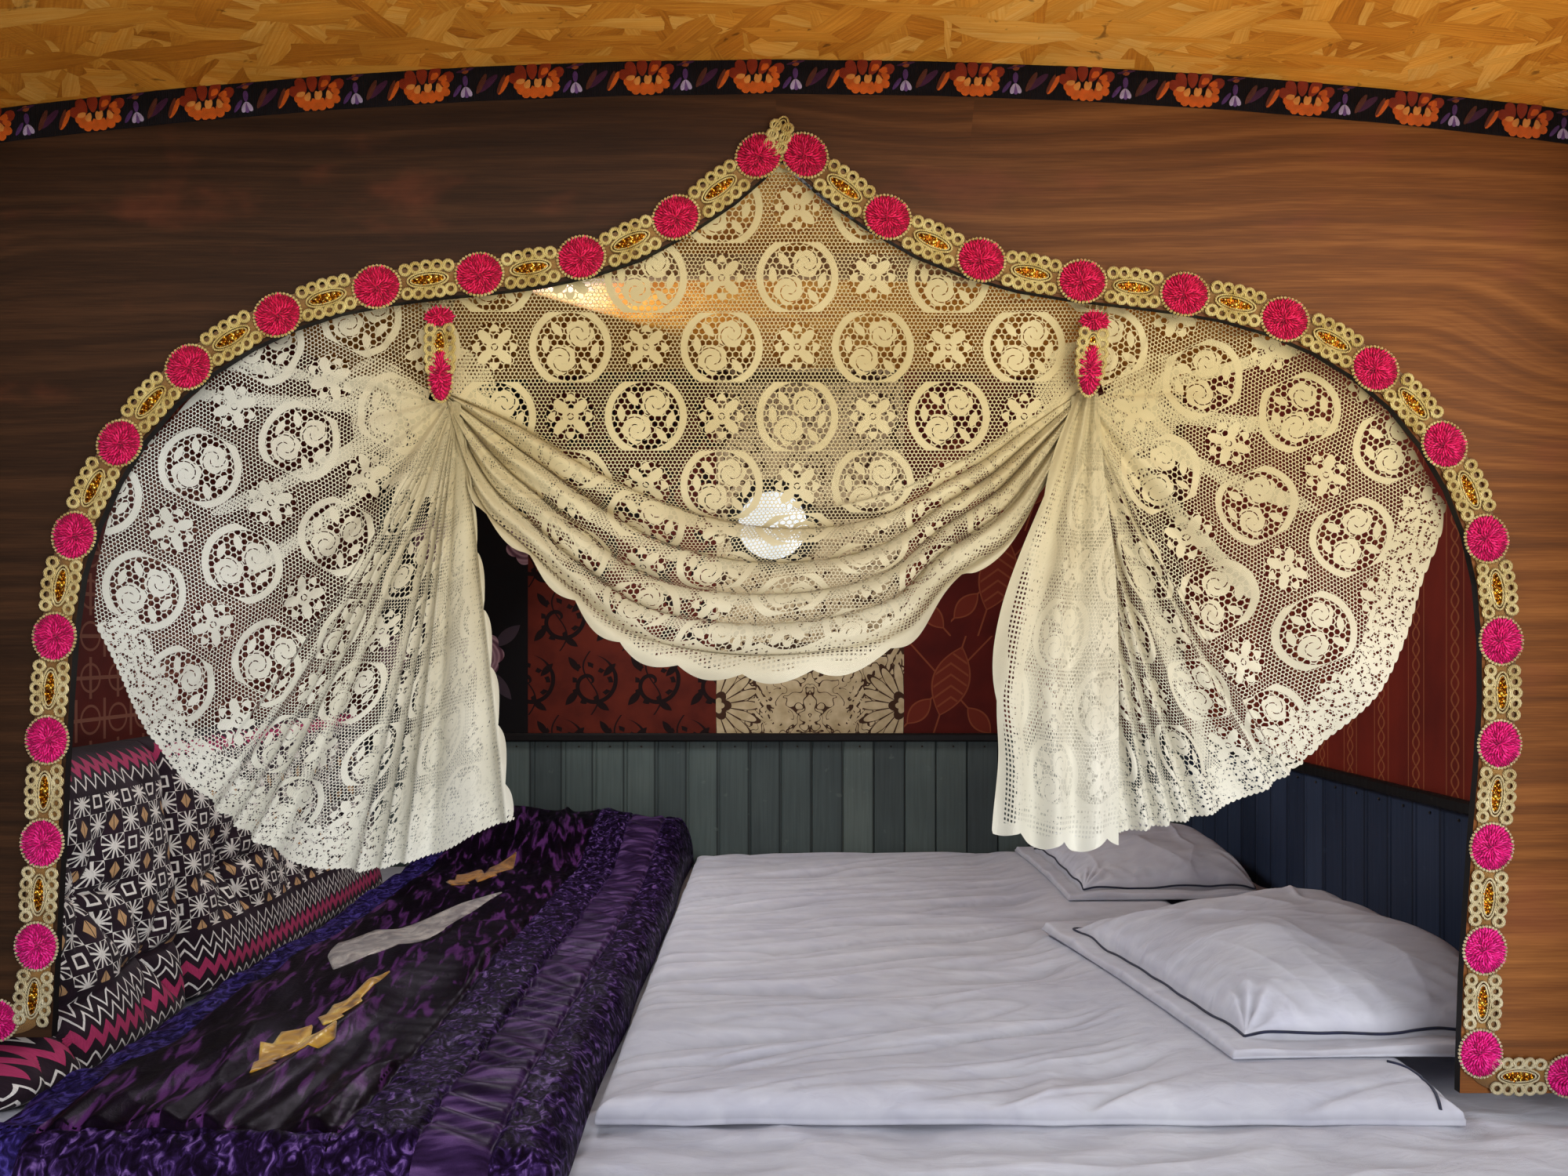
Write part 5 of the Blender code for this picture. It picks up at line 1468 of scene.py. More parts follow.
def drive_nails():
    """A row under the rail on each wall."""
    height = low("dado_end").z - 0.014
    proud = 0.0004
    side, end_wall = high("wainscot_left").x + proud, END_WALL - proud
    rows = {
        "nails_end": [(-0.996, end_wall, height), (0.996, end_wall, height)],
        "nails_left": [(side, -0.60, height), (side, END_WALL - 0.03, height)],
        "nails_right": [(-side, -0.60, height), (-side, END_WALL - 0.03, height)],
    }
    works = nail_works()
    for name, (start, end) in rows.items():
        mesh = bpy.data.meshes.new("row")
        mesh.from_pydata([start, end], [(0, 1)], [])
        count = int(math.dist(start, end) / BOARD_PITCH)
        works.piece(name, mesh, {"Count": count})


IRON = nail_iron()
drive_nails()


# Flower ribbon under the roof

ROOF_RADIUS = 7.80
RIBBON_TOP = CROWN - 0.0006
FLOWER_PITCH = 0.1375


class Stitching:
    """Raised satin-stitch shapes gathered into one mesh, each with its own thread colour."""

    def __init__(self):
        self.verts, self.faces, self.colours = [], [], []

    def petal(self, x, y, turn, length, width, colour, layer, blunt=0.0):
        """An oval from (x, y) outwards. Blunt petals are widest near their tip."""
        x, y, length, width = x * 1.12, y * 1.08, length * 1.08, width * 1.20
        c, s = math.cos(math.radians(turn)), math.sin(math.radians(turn))
        first, count = len(self.verts), 12
        for k in range(count):
            a = 2 * math.pi * k / count
            along = 0.5 - 0.5 * math.cos(a)
            swell = 1.0 + blunt * (along - 0.5)
            p, q = along * length, math.sin(a) * width / 2 * swell
            self.verts.append((x + p * c - q * s, y + p * s + q * c, 0.0002 + 0.0003 * layer))
        share = 0.5 + 0.2 * blunt
        self.verts.append((x + share * length * c, y + share * length * s, 0.0011 + 0.0003 * layer))
        for k in range(count):
            self.faces.append((first + k, first + (k + 1) % count, first + count))
            self.colours.append(colour)

    def mesh(self, name):
        mesh = bpy.data.meshes.new(name)
        mesh.from_pydata(self.verts, [], self.faces)
        tint = mesh.attributes.new("thread", "FLOAT_COLOR", "FACE")
        tint.data.foreach_set("color", [v for colour in self.colours for v in (*linear(colour), 1.0)])
        return mesh


def peony_motif():
    """One repeat of the ribbon: a peony, a small tulip, leaves and a bud, in metres."""
    work = Stitching()
    orange, pale, rust, plum = (226, 104, 30), (242, 158, 74), (150, 50, 20), (74, 32, 62)
    outer = ((-0.040, -0.002, 150, 0.019), (-0.038, 0.001, 115, 0.020), (-0.030, 0.002, 90, 0.020),
             (-0.022, 0.002, 62, 0.024), (-0.014, 0.000, 35, 0.024))
    for x, y, turn, length in outer:
        work.petal(x, y, turn, length, 0.011, rust, 0, 0.6)
    middle = ((-0.037, -0.001, 200), (-0.036, -0.003, 225), (-0.034, -0.005, 250), (-0.030, -0.005, 280),
              (-0.022, -0.004, 235), (-0.019, -0.005, 262), (-0.015, -0.004, 292), (-0.012, -0.002, 325))
    for x, y, turn in middle:
        work.petal(x, y, turn, 0.015, 0.0085, orange, 1, 0.8)
    inner = ((-0.038, 0.002, 205), (-0.033, 0.002, 245), (-0.026, 0.003, 285), (-0.020, 0.003, 240),
             (-0.013, 0.003, 285), (-0.009, 0.004, 330), (-0.012, 0.007, 10), (-0.020, 0.007, 45))
    for x, y, turn in inner:
        work.petal(x, y, turn, 0.011, 0.0065, pale if y < 0.004 else orange, 2, 0.7)
    work.petal(0.004, -0.014, 55, 0.017, 0.0045, (92, 56, 110), 0)
    lilac, violet = (196, 178, 206), (120, 82, 140)
    for turn, colour in ((250, lilac), (275, violet), (300, lilac), (90, (96, 58, 112))):
        work.petal(0.018, -0.003, turn, 0.013, 0.0055, colour, 1, 0.3)
    work.petal(0.018, 0.012, 90, 0.007, 0.008, (150, 74, 36), 0)
    work.petal(0.032, -0.010, 40, 0.030, 0.0075, plum, 0)
    work.petal(0.030, -0.012, 62, 0.026, 0.006, (96, 50, 34), 1)
    work.petal(0.054, -0.014, 58, 0.026, 0.0065, orange, 0)
    work.petal(0.053, -0.013, 66, 0.024, 0.0045, (110, 52, 30), 1)
    work.petal(0.008, 0.014, 12, 0.022, 0.003, plum, 0)
    return work.mesh("peony motif")


def flower_works(thread):
    """Repeats a motif along the roof's curve."""
    works = Works("flower ribbon")
    count, pitch = works.size("Count", 15), works.size("Pitch", FLOWER_PITCH)
    radius, drop = works.size("Roof radius", ROOF_RADIUS), works.size("Drop", 0.0215)
    start = works.size("Start", 0.0)
    index = works.index()
    angle = ((index - (count - 1.0) * 0.5) * pitch + start) / radius
    reach = radius - drop
    height = angle.cos() * reach + (RIBBON_TOP - radius)
    place = works.vector(angle.sin() * reach, SCREEN_FRONT - 0.0022, height)
    ahead = works.vector(angle.cos(), 0.0, -angle.sin())
    works.end(works.set_along(works.base, count, place, ahead), thread)
    return works


def ribbon_thread():
    finish = Finish("ribbon thread", 0.5, Sheen_Weight=0.03)
    colour = finish.attribute("thread", colour=True)
    x, y, z = finish.place()
    strand = ((x + z * 0.6) * 4200.0).sin()
    patch = finish.noise(x * 120.0, y * 120.0, z * 120.0)
    finish.paint(finish.dim(colour, (strand * 0.3 + patch).spread(0.1, 0.9, 0.75, 1.5)))
    finish.relief(strand, 0.0005)
    return finish.material


def black_grosgrain():
    finish = Finish("black grosgrain", 0.75, Specular_IOR_Level=0.2)
    x, _, z = finish.place()
    rib = (x * 3600.0).sin()
    wear = finish.noise(x * 30.0, z * 60.0, detail=4.0)
    black = finish.ramp(wear, (0.3, (10, 8, 10)), (0.75, (24, 20, 24)))
    finish.paint(finish.dim(black, rib.spread(-1.0, 1.0, 0.8, 1.1)))
    finish.relief(rib, 0.0004)
    return finish.material


dress(black_grosgrain(), "roof_ribbon")
flower_works(ribbon_thread()).piece("ribbon_flowers", peony_motif(), slot="woven_ribbon")


# Bedding

def hills(x, y, seed):
    """Smooth random hills with a spacing of 1, from -1 to 1."""
    x, y = np.broadcast_arrays(np.asarray(x, dtype=float), np.asarray(y, dtype=float))
    draw = np.random.default_rng(seed)
    turns = draw.uniform(0.0, 2 * math.pi, (64, 64))
    i, j = np.floor(x).astype(int), np.floor(y).astype(int)
    fx, fy = x - i, y - j
    sx, sy = fx * fx * (3 - 2 * fx), fy * fy * (3 - 2 * fy)
    total = 0.0
    for di, dj in ((0, 0), (0, 1), (1, 0), (1, 1)):
        turn = turns[(i + di) % 64, (j + dj) % 64]
        slope = np.cos(turn) * (fx - di) + np.sin(turn) * (fy - dj)
        total = total + slope * (sx if di else 1 - sx) * (sy if dj else 1 - sy)
    return 1.5 * total


def rough(x, y, seed):
    """Three layers of hills, each half the size of the last."""
    return sum(hills(x * 2**k, y * 2**k, seed + k) / 2**k for k in range(3))


def creases(x, y, seed, sharp=2.5):
    """Narrow ridges on a flat ground, from 0 to 1."""
    bend = 0.6 * hills(x * 0.7, y * 0.7, seed + 50)
    return np.clip(1.0 - np.abs(hills(x + bend, y - bend, seed)) * sharp, 0.0, 1.0) ** 1.6


def fold_depth(top):
    """How far each point stands over the ground round it: 1 on a ridge, -1 in a crease."""
    reach, full = 4, 0.0035
    rows, columns = top.shape
    padded = np.pad(top, reach, mode="edge")
    steps = range(2 * reach + 1)
    ground = sum(padded[i:i + rows, j:j + columns] for i in steps for j in steps) / len(steps)**2
    return np.clip((top - ground) / full, -1.0, 1.0)


def slab(name, x, y, top, base, material, sides):
    """A closed form from a grid of top heights, with its sides down to a flat underside."""
    verts = np.stack([x, y, top], axis=-1).reshape(-1, 3).tolist()
    quads, border = grid_faces(*x.shape)
    faces = quads.tolist()
    ring = border
    for step in range(1, sides + 1):
        share = step / sides
        lower = []
        for k in border:
            px, py, pz = verts[k]
            lower.append(len(verts))
            verts.append((px, py, pz + (base - pz) * share))
        for k in range(len(ring)):
            after = (k + 1) % len(ring)
            faces.append((ring[after], ring[k], lower[k], lower[after]))
        ring = lower
    faces.append(tuple(reversed(ring)))
    mesh = closed_mesh(name, verts, faces, material)
    # Each top vertex's fold depth, which the linen reads to paint shade in creases and a highlight on ridges.
    folds = np.zeros(len(verts), dtype=np.float32)
    folds[:top.size] = fold_depth(top).ravel()
    keep_numbers(mesh, "fold", folds)
    return add_object(name, mesh)


def grid(left, right, near, far, columns, rows, ease):
    """A rectangle of points, bunched towards its edges by ease."""
    u = np.linspace(-1.0, 1.0, columns)
    v = np.linspace(-1.0, 1.0, rows)
    u, v = (w + ease * (np.sin(np.pi * w / 2) - w) for w in (u, v))
    u, v = np.meshgrid(u, v)
    return u, v, left + (right - left) * (u + 1) / 2, near + (far - near) * (v + 1) / 2


def from_edge(x, y, start, end):
    """Distance to the nearest edge of a box seen from above."""
    return np.minimum(np.minimum(x - start.x, end.x - x), np.minimum(y - start.y, end.y - y))


def rounding(edge, radius):
    """The height of a quarter circle that rises from an edge, from 0 to 1."""
    return np.sqrt(np.clip(1 - (1 - np.clip(edge / radius, 0, 1)) ** 2, 0, 1))


def white_cotton():
    """White bed linen with a fine weave. Its blue-lilac tint is painted daylight, its creases carry painted
    shade and its ridges a painted highlight.
    """
    finish = Finish("white bed linen", 0.78, Sheen_Weight=0.25, Sheen_Roughness=0.5)
    x, y, z = finish.place()
    weave = (x * 5200.0).sin() * (y * 5200.0 + z * 3000.0).sin()
    soft = finish.noise(x * 3.0, y * 3.0, z * 3.0, detail=4.0)
    crease = finish.noise(x * 22.0, y * 46.0, z * 22.0, detail=3.0, distortion=0.6)
    # Painted light: the blue-lilac tint stands in for daylight on white linen.
    colour = finish.ramp(
        soft * 0.6 + crease * 0.4, (0.3, (189, 190, 207)), (0.5, (209, 210, 223)), (0.7, (225, 227, 237)))
    # Painted shade in the creases and painted highlight on the ridges, from each vertex's fold depth.
    fold_shade_and_highlight = finish.attribute("fold").spread(-1.0, 1.0, 0.80, 1.12)
    finish.paint(finish.dim(colour, weave.spread(-1.0, 1.0, 0.97, 1.02) * fold_shade_and_highlight))
    finish.relief(crease * 0.9 + weave * 0.04, 0.014, 0.6)
    return finish.material


def navy_piping():
    finish = Finish("navy piping", 0.6, Sheen_Weight=0.2)
    x, y, z = finish.place()
    strand = ((x + y + z) * 2600.0).sin()
    patch = finish.noise(x * 60.0, y * 60.0, z * 60.0)
    navy = finish.ramp(patch, (0.3, (20, 24, 48)), (0.7, (34, 40, 74)))
    finish.paint(finish.dim(navy, strand.spread(-1.0, 1.0, 0.85, 1.1)))
    finish.relief(strand, 0.0003)
    return finish.material


LINEN, PIPING = white_cotton(), navy_piping()


def lay_sheet():
    """The mattress under its bottom sheet, drawn tight with soft pulls across the front."""
    start, end = low("mattress"), high("mattress")
    _, _, x, y = grid(start.x, end.x, start.y, end.y, 300, 240, 0.6)
    edge = from_edge(x, y, start, end)
    corner = 0.024
    drop = corner * (1 - rounding(edge, corner))
    pulls = creases(x * 3.2 + y * 3.0, y * 6.0 - x * 0.8, 5) * 0.0080 + hills(x * 9.0, y * 24.0, 9) * 0.0070
    near_front = 1.0 - smooth(y, SCREEN_FRONT - 0.02, SCREEN_FRONT + 0.06)
    top = end.z - 0.0080 - drop + pulls * (0.25 + 0.75 * near_front) * smooth(edge, 0.0, 0.05)
    piece = slab("mattress_in_sheet", x, y, np.minimum(top, end.z - 0.0002), start.z, LINEN, 10)
    soft_piece(piece, "mattress")


def soft_piece(piece, node):
    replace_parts(piece, node)
    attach(piece, "bed_place")


def beside_pillow(x, y, node):
    """1 under a pillow, falling to 0 a hand's width from it."""
    start, end = low(node), high(node)
    across = np.maximum(np.maximum(start.x - x, x - end.x), 0.0)
    along = np.maximum(np.maximum(start.y - y, y - end.y), 0.0)
    return 1.0 - smooth(np.hypot(across, along), 0.0, 0.11)


def duvet_top(x, y):
    """Height of the duvet above its underside."""
    start, end = low("duvet"), high("duvet")
    round_edge = rounding(from_edge(x, y, start, end), 0.042)
    full = end.z - start.z
    fan = y - (start.y + 0.35) - 0.32 * (x - 0.5)
    long_pulls = creases(x * 1.2 + 3.0, fan * 7.5 + 0.5 * hills(x * 1.6, y * 2.0, 14), 12, 4.2)
    fine_pulls = creases(x * 2.2 + 1.0, fan * 17.0 + 0.4 * hills(x * 3.0, y * 3.0, 15), 21, 3.6)
    soft = hills(x * 3.0, y * 3.4, 31) * 0.0070 + hills(x * 7.0, y * 8.0, 33) * 0.0030
    folds = hills(x * 1.9 + 0.6 * hills(x * 1.3, y * 1.5, 16), fan * 9.5, 17)
    folds = folds + 0.45 * hills(x * 4.0 + fan * 3.0, fan * 21.0 + x * 2.0, 18)
    front = 1.0 - smooth(y, start.y, start.y + 0.30)
    slack = creases(x * 5.0 - y * 5.0, y * 5.0 + x * 1.2, 44, 2.0) * front
    body = 0.036 + soft * 1.6 + 0.018 * folds - 0.013 * long_pulls - 0.008 * fine_pulls + 0.014 * slack
    body = full * np.tanh(body / full)
    under = np.maximum(beside_pillow(x, y, "pillow_front"), beside_pillow(x, y, "pillow_rear"))
    body = body + (full - 0.0015 - body) * 0.9 * under
    return np.clip(0.008 + (body - 0.008) * round_edge, 0.004, full - 0.0003)


def lay_duvet():
    start, end = low("duvet"), high("duvet")
    _, _, x, y = grid(start.x, end.x, start.y, end.y, 300, 290, 0.5)
    top = duvet_top(x, y)
    wavy = 0.011 * hills(x * 6.0, 0.3, 61) * (1 - smooth(y, start.y, start.y + 0.08))
    y = y + np.abs(wavy)
    piece = slab("duvet_in_cover", x, y, start.z + top, start.z, LINEN, 3)
    soft_piece(piece, "duvet")
    corner = [(end.x - back, start.y + along) for back, along in (
        (0.045, 0.100), (0.026, 0.080), (0.020, 0.046), (0.026, 0.016), (0.029, 0.004))]
    places = []
    for x, y in smooth_line(corner, 24):
        height = float(duvet_top(np.array(x), np.array(y)))
        places.append((x, y, start.z + height + 0.0010))
    cord_tube("duvet_piping", places, 0.0020, PIPING)


def cord_tube(name, places, radius, material):
    """Round piping through the given places."""
    data = bpy.data.curves.new(name, "CURVE")
    data.dimensions = "3D"
    line = data.splines.new("POLY")
    smooth_places = smooth_line(places, max(24, 6 * len(places)))
    line.points.add(len(smooth_places) - 1)
    for point, place in zip(line.points, smooth_places):
        point.co = (*place, 1.0)
    data.bevel_depth = radius
    data.bevel_resolution = 2
    data.use_fill_caps = True
    piece = plain_piece(add_object(name + "_maker", data), name, material)
    piece.data.shade_smooth()


def pillow(node, name, skew, crown, seed):
    """A pillow in a bordered slip. Its wall side leans up, and piping runs round the filled part."""
    start, end = low(node), high(node)
    border, pinch = 0.040, 0.030
    across, along = end.x - start.x, end.y - start.y
    u, v, _, _ = grid(-1.0, 1.0, -1.0, 1.0, 190, 230, 0.25)
    px = (start.x + end.x) / 2 + u * across / 2 * (1 - pinch * (1 - v**2))
    py = (start.y + end.y) / 2 + v * along / 2 * (1 - pinch * (1 - u**2))
    px = px - skew * v * (1 - u) / 2
    inner_u, inner_v = 1 - 2 * border / across, 1 - 2 * border / along
    iu, iv = np.clip(np.abs(u) / inner_u, 0, 1), np.clip(np.abs(v) / inner_v, 0, 1)
    filled = (np.clip(1 - iu**3.2, 0, 1) * np.clip(1 - iv**3.6, 0, 1)) ** 0.52
    tall = (end.z - start.z) * crown
    corner_u, corner_v = 1 - np.abs(u) / inner_u, 1 - np.abs(v) / inner_v
    corner = np.hypot(np.clip(corner_u, 0, 1), np.clip(corner_v, 0, 1))
    spoke = np.arctan2(np.clip(corner_v, 0.001, 1), np.clip(corner_u, 0.001, 1))
    spokes = np.sin(spoke * 16 + 3 * hills(u * 2, v * 2, seed))
    from_corner = spokes * np.exp(-((corner - 0.16) / 0.16) ** 2) * 0.0055
    seam_pucker = np.sin((px * 150 + py * 150) + 4 * hills(px * 12, py * 12, seed + 3))
    at_seam = np.exp(-((np.maximum(iu, iv) - 0.93) / 0.09) ** 2)
    wrinkle = creases(px * 4.0 + py * 1.5, py * 3.0, seed + 5, 2.2) * 0.013
    wrinkle = wrinkle + hills(px * 8.0, py * 7.0, seed + 6) * 0.016
    wrinkle = wrinkle + creases(px * 9.0, py * 5.0 + px * 3.0, seed + 8, 2.4) * 0.0060
    relief = wrinkle + from_corner + 0.0016 * seam_pucker * at_seam
    top = tall * filled * (0.86 + 0.14 * u) + relief * filled**0.35
    flat = 0.0060 + 0.0065 * (1 + hills(px * 12.0, py * 12.0, seed + 9)) * (1 - filled)
    rim = np.maximum(np.abs(u), np.abs(v))
    flat = flat * np.clip((1.002 - rim) / 0.02, 0.35, 1)
    height = np.clip(flat + np.maximum(top, 0.0), 0.002, end.z - start.z + 0.030)
    rise = 0.055 * smooth(u, -0.2, 1.0) ** 1.5
    piece = slab(name, px, py, start.z + height + rise * (filled * 0.6), start.z, LINEN, 2)
    soft_piece(piece, node)
    side, short = np.linspace(-1, 1, 22), np.linspace(-1, 1, 16)
    round_it = [(-1, t) for t in side] + [(t, 1) for t in short[1:]]
    side, short = np.linspace(1, -1, 22), np.linspace(1, -1, 16)
    round_it += [(1, t) for t in side[1:]] + [(t, -1) for t in short[1:]]
    line = []
    for a, b in round_it:
        i = int(np.argmin(np.abs(v[:, 0] - b * inner_v)))
        j = int(np.argmin(np.abs(u[0] - a * inner_u)))
        line.append((px[i, j], py[i, j], start.z + height[i, j] + rise[i, j] * filled[i, j] * 0.6 + 0.0012))
    cord_tube(name + "_piping", line, 0.0021, PIPING)


QUILT_BORDER, QUILT_STRIP, QUILT_INNER = 0.072, 0.155, 0.240
QUILT_FRONT, QUILT_BLUE = 0.042, 0.09


def quilt_corners():
    """The quilt's box, pushed up against the pads."""
    start, end = low("quilt"), high("quilt")
    start.x = high("wall_pad_front").x + 0.004
    return start, end


def quilt_height(x, y):
    """Height of the quilt's top at a place on the bed."""
    start, end = quilt_corners()
    round_edge = rounding(from_edge(x, y, start, end), 0.040)
    share = (y - start.y) / (end.y - start.y)
    heap = 0.082 * smooth(share, 0.76, 0.97)
    middle = (x - start.x) / (end.x - start.x)
    body = 0.050 + 0.012 * np.sin(np.pi * middle) + heap * (0.80 + 0.2 * np.sin(3 * middle))
    from_right, from_front, from_left = end.x - x, y - start.y, x - start.x
    satin = smooth(from_right, QUILT_INNER - 0.004, QUILT_INNER + 0.004)
    satin = satin * smooth(from_front, QUILT_FRONT - 0.005, QUILT_FRONT + 0.005)
    satin = satin * smooth(from_left, 0.085, 0.095)
    strip = smooth(from_right, QUILT_BORDER - 0.003, QUILT_BORDER + 0.003)
    strip = strip * (1 - smooth(from_right, QUILT_STRIP - 0.003, QUILT_STRIP + 0.003))
    velvet = np.clip(1 - satin - strip, 0, 1)
    gather_front = np.sin(x * 130 + 5.0 * hills(x * 9, y * 3, 71))
    gather_front = gather_front * np.exp(-np.clip(from_front - QUILT_FRONT, 0, 1) / 0.13)
    gather_side = np.sin(y * 170 + 4.5 * hills(x * 5, y * 8, 72))
    gather_side = gather_side * np.exp(-np.clip(from_right - QUILT_INNER, 0, 1) / 0.07)
    drift = creases(x * 5.5 + y * 1.6, y * 2.2 - x * 2.0, 73, 1.9)
    satin_relief = 0.0060 * gather_front + 0.0009 * gather_side + 0.014 * drift
    satin_relief = satin_relief + 0.007 * hills(x * 9, y * 6, 74)
    strip_relief = 0.0040 * np.sin(y * 120 + x * 60 + 5.0 * hills(x * 10, y * 7, 75))
    strip_relief = strip_relief + 0.005 * hills(x * 6, y * 9, 76)
    velvet_relief = 0.0050 * creases(x * 16 + y * 6, y * 13 - x * 5, 77, 1.8)
    velvet_relief = velvet_relief + 0.0035 * rough(x * 14, y * 12, 78)

    def seam(reach):
        return np.exp(-(reach / 0.004) ** 2)

    seams = sum(seam(from_right - place) for place in (QUILT_BORDER, QUILT_STRIP, QUILT_INNER))
    seams = seams + seam(from_front - QUILT_FRONT) * (from_right > QUILT_INNER)
    relief = satin * satin_relief + strip * strip_relief + velvet * velvet_relief
    relief = relief - 0.005 * np.minimum(seams, 1.0)
    folds = 0.010 * creases(x * 2.4 + 1.0, y * 1.9 + x, 79, 1.6) + 0.006 * hills(x * 3.1, y * 2.6, 80)
    return start.z + 0.008 + (body - 0.008 + relief + folds) * round_edge


def crushed_velvet(start, end):
    """Violet crushed velvet, black satin and violet satin in their panels. The satins' light streaks are
    painted highlights, and the velvet's lightest crushed patches are partly painted sheen.
    """
    finish = Finish("crushed velvet and satin", 0.5, Specular_IOR_Level=0.07,
                    Specular_Tint=(0.55, 0.25, 0.75, 1.0))
    x, y, z = finish.place()
    from_right, from_front, from_left = end.x - x, y - start.y, x - start.x
    wobble = finish.noise(x * 9.0, y * 9.0, detail=2.0) * 0.006 - 0.003
    inside = (from_right + wobble).above(QUILT_INNER) * (from_front + wobble).above(QUILT_FRONT)
    inside = inside * from_left.above(QUILT_BLUE)
    strip = (from_right + wobble).above(QUILT_BORDER) * (from_right + wobble).below(QUILT_STRIP)
    crush = finish.noise(x * 74.0, y * 56.0, z * 50.0, detail=4.0, distortion=1.4)
    pile = finish.noise(x * 900.0, y * 900.0, z * 900.0, detail=2.0)
    # The crushed pile's pattern; its lightest patches are partly painted sheen.
    velvet = finish.ramp(
        crush, (0.38, (10, 5, 16)), (0.50, (24, 13, 38)), (0.58, (48, 30, 74)), (0.68, (106, 78, 136)))
    # Painted highlights: light purple streaks on the black satin.
    shimmer = finish.noise(x * 58.0 + y * 9.0, y * 11.0, z * 20.0, detail=4.0, distortion=0.7)
    satin = finish.ramp(shimmer, (0.4, (8, 4, 9)), (0.54, (18, 8, 22)), (0.66, (84, 42, 98)))
    # Painted highlights: light streaks on the violet satin.
    streak = finish.noise(x * 12.0, y * 90.0, z * 20.0, detail=4.0)
    light_satin = finish.ramp(streak, (0.35, (26, 15, 36)), (0.5, (46, 29, 62)), (0.68, (92, 66, 112)))
    blue = finish.ramp(crush, (0.38, (15, 11, 34)), (0.52, (34, 26, 78)), (0.68, (76, 62, 142)))
    velvet = finish.mix(from_left.below(QUILT_BLUE), velvet, blue)
    colour = finish.mix(strip, velvet, light_satin)
    colour = finish.mix(inside, colour, satin)

    def stitches(reach, run):
        return (reach - 0.006).abs().below(0.0011) * (run * 700.0).sin().above(-0.2)

    front_seam = stitches(from_front - QUILT_FRONT, x) * from_right.above(QUILT_INNER)
    colour = finish.mix(stitches(from_right - QUILT_INNER, y).most(front_seam), colour, (10, 6, 12))
    finish.paint(finish.dim(colour, pile.spread(0.3, 0.7, 0.86, 1.12)))
    smooth_part = inside.most(strip)
    rough_part = (1.0 - smooth_part) * crush.spread(0.35, 0.65, 0.66, 0.40)
    finish.gloss(rough_part + smooth_part * shimmer.spread(0.4, 0.7, 0.48, 0.34))
    finish.relief(crush * (1.0 - smooth_part * 0.75) + pile * 0.08, 0.004, 0.6)
    return finish.material


def leaf_satin(name, dark, mid, light):
    finish = Finish(name, 0.3, Sheen_Weight=0.2)
    x, y, z = finish.place()
    gleam = finish.noise(x * 40.0, y * 22.0, z * 30.0, detail=4.0, distortion=0.8)
    weave = ((x + y) * 3600.0).sin()
    colour = finish.ramp(gleam, (0.32, dark), (0.5, mid), (0.68, light))
    finish.paint(finish.dim(colour, weave.spread(-1.0, 1.0, 0.93, 1.05)))
    finish.gloss(gleam.spread(0.3, 0.7, 0.4, 0.24))
    finish.relief(gleam, 0.003)
    return finish.material


def leaf_patch(name, stations, material):
    """A stitched-on leaf: (x, y, reach to its left, reach to its right) from its stalk to its tip."""
    stations = np.array(stations, dtype=float) + np.array([0.0, SCREEN_FRONT, 0.0, 0.0])
    rows, columns = 46, 11
    walk = along_line(stations, np.linspace(0.0, 1.0, rows))
    middle, left, right = walk[:, :2], walk[:, 2], walk[:, 3]
    ahead = stations[-1, :2] - stations[0, :2]
    ahead = ahead / np.hypot(*ahead)
    beside = np.array([ahead[1], -ahead[0]])
    share = np.linspace(-1.0, 1.0, columns)[None, :]
    reach = np.where(share < 0, share * left[:, None], share * right[:, None])
    x = middle[:, :1] + reach * beside[0]
    y = middle[:, 1:] + reach * beside[1]
    z = quilt_height(x, y) + 0.0006 + 0.0022 * (1 - share**2)
    z = z + 0.0008 * np.abs(np.sin(np.arange(rows) * 0.7))[:, None] * (1 - share**2)
    places, cloth = np.stack([x, y, z], axis=-1), np.stack([x, y], axis=-1)
    piece = cloth_mesh(name, places, cloth, np.zeros_like(x), material)
    backing = piece.modifiers.new("thickness", "SOLIDIFY")
    backing.thickness = 0.0010
    backing.offset = -1.0
    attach(piece, "bed_place")


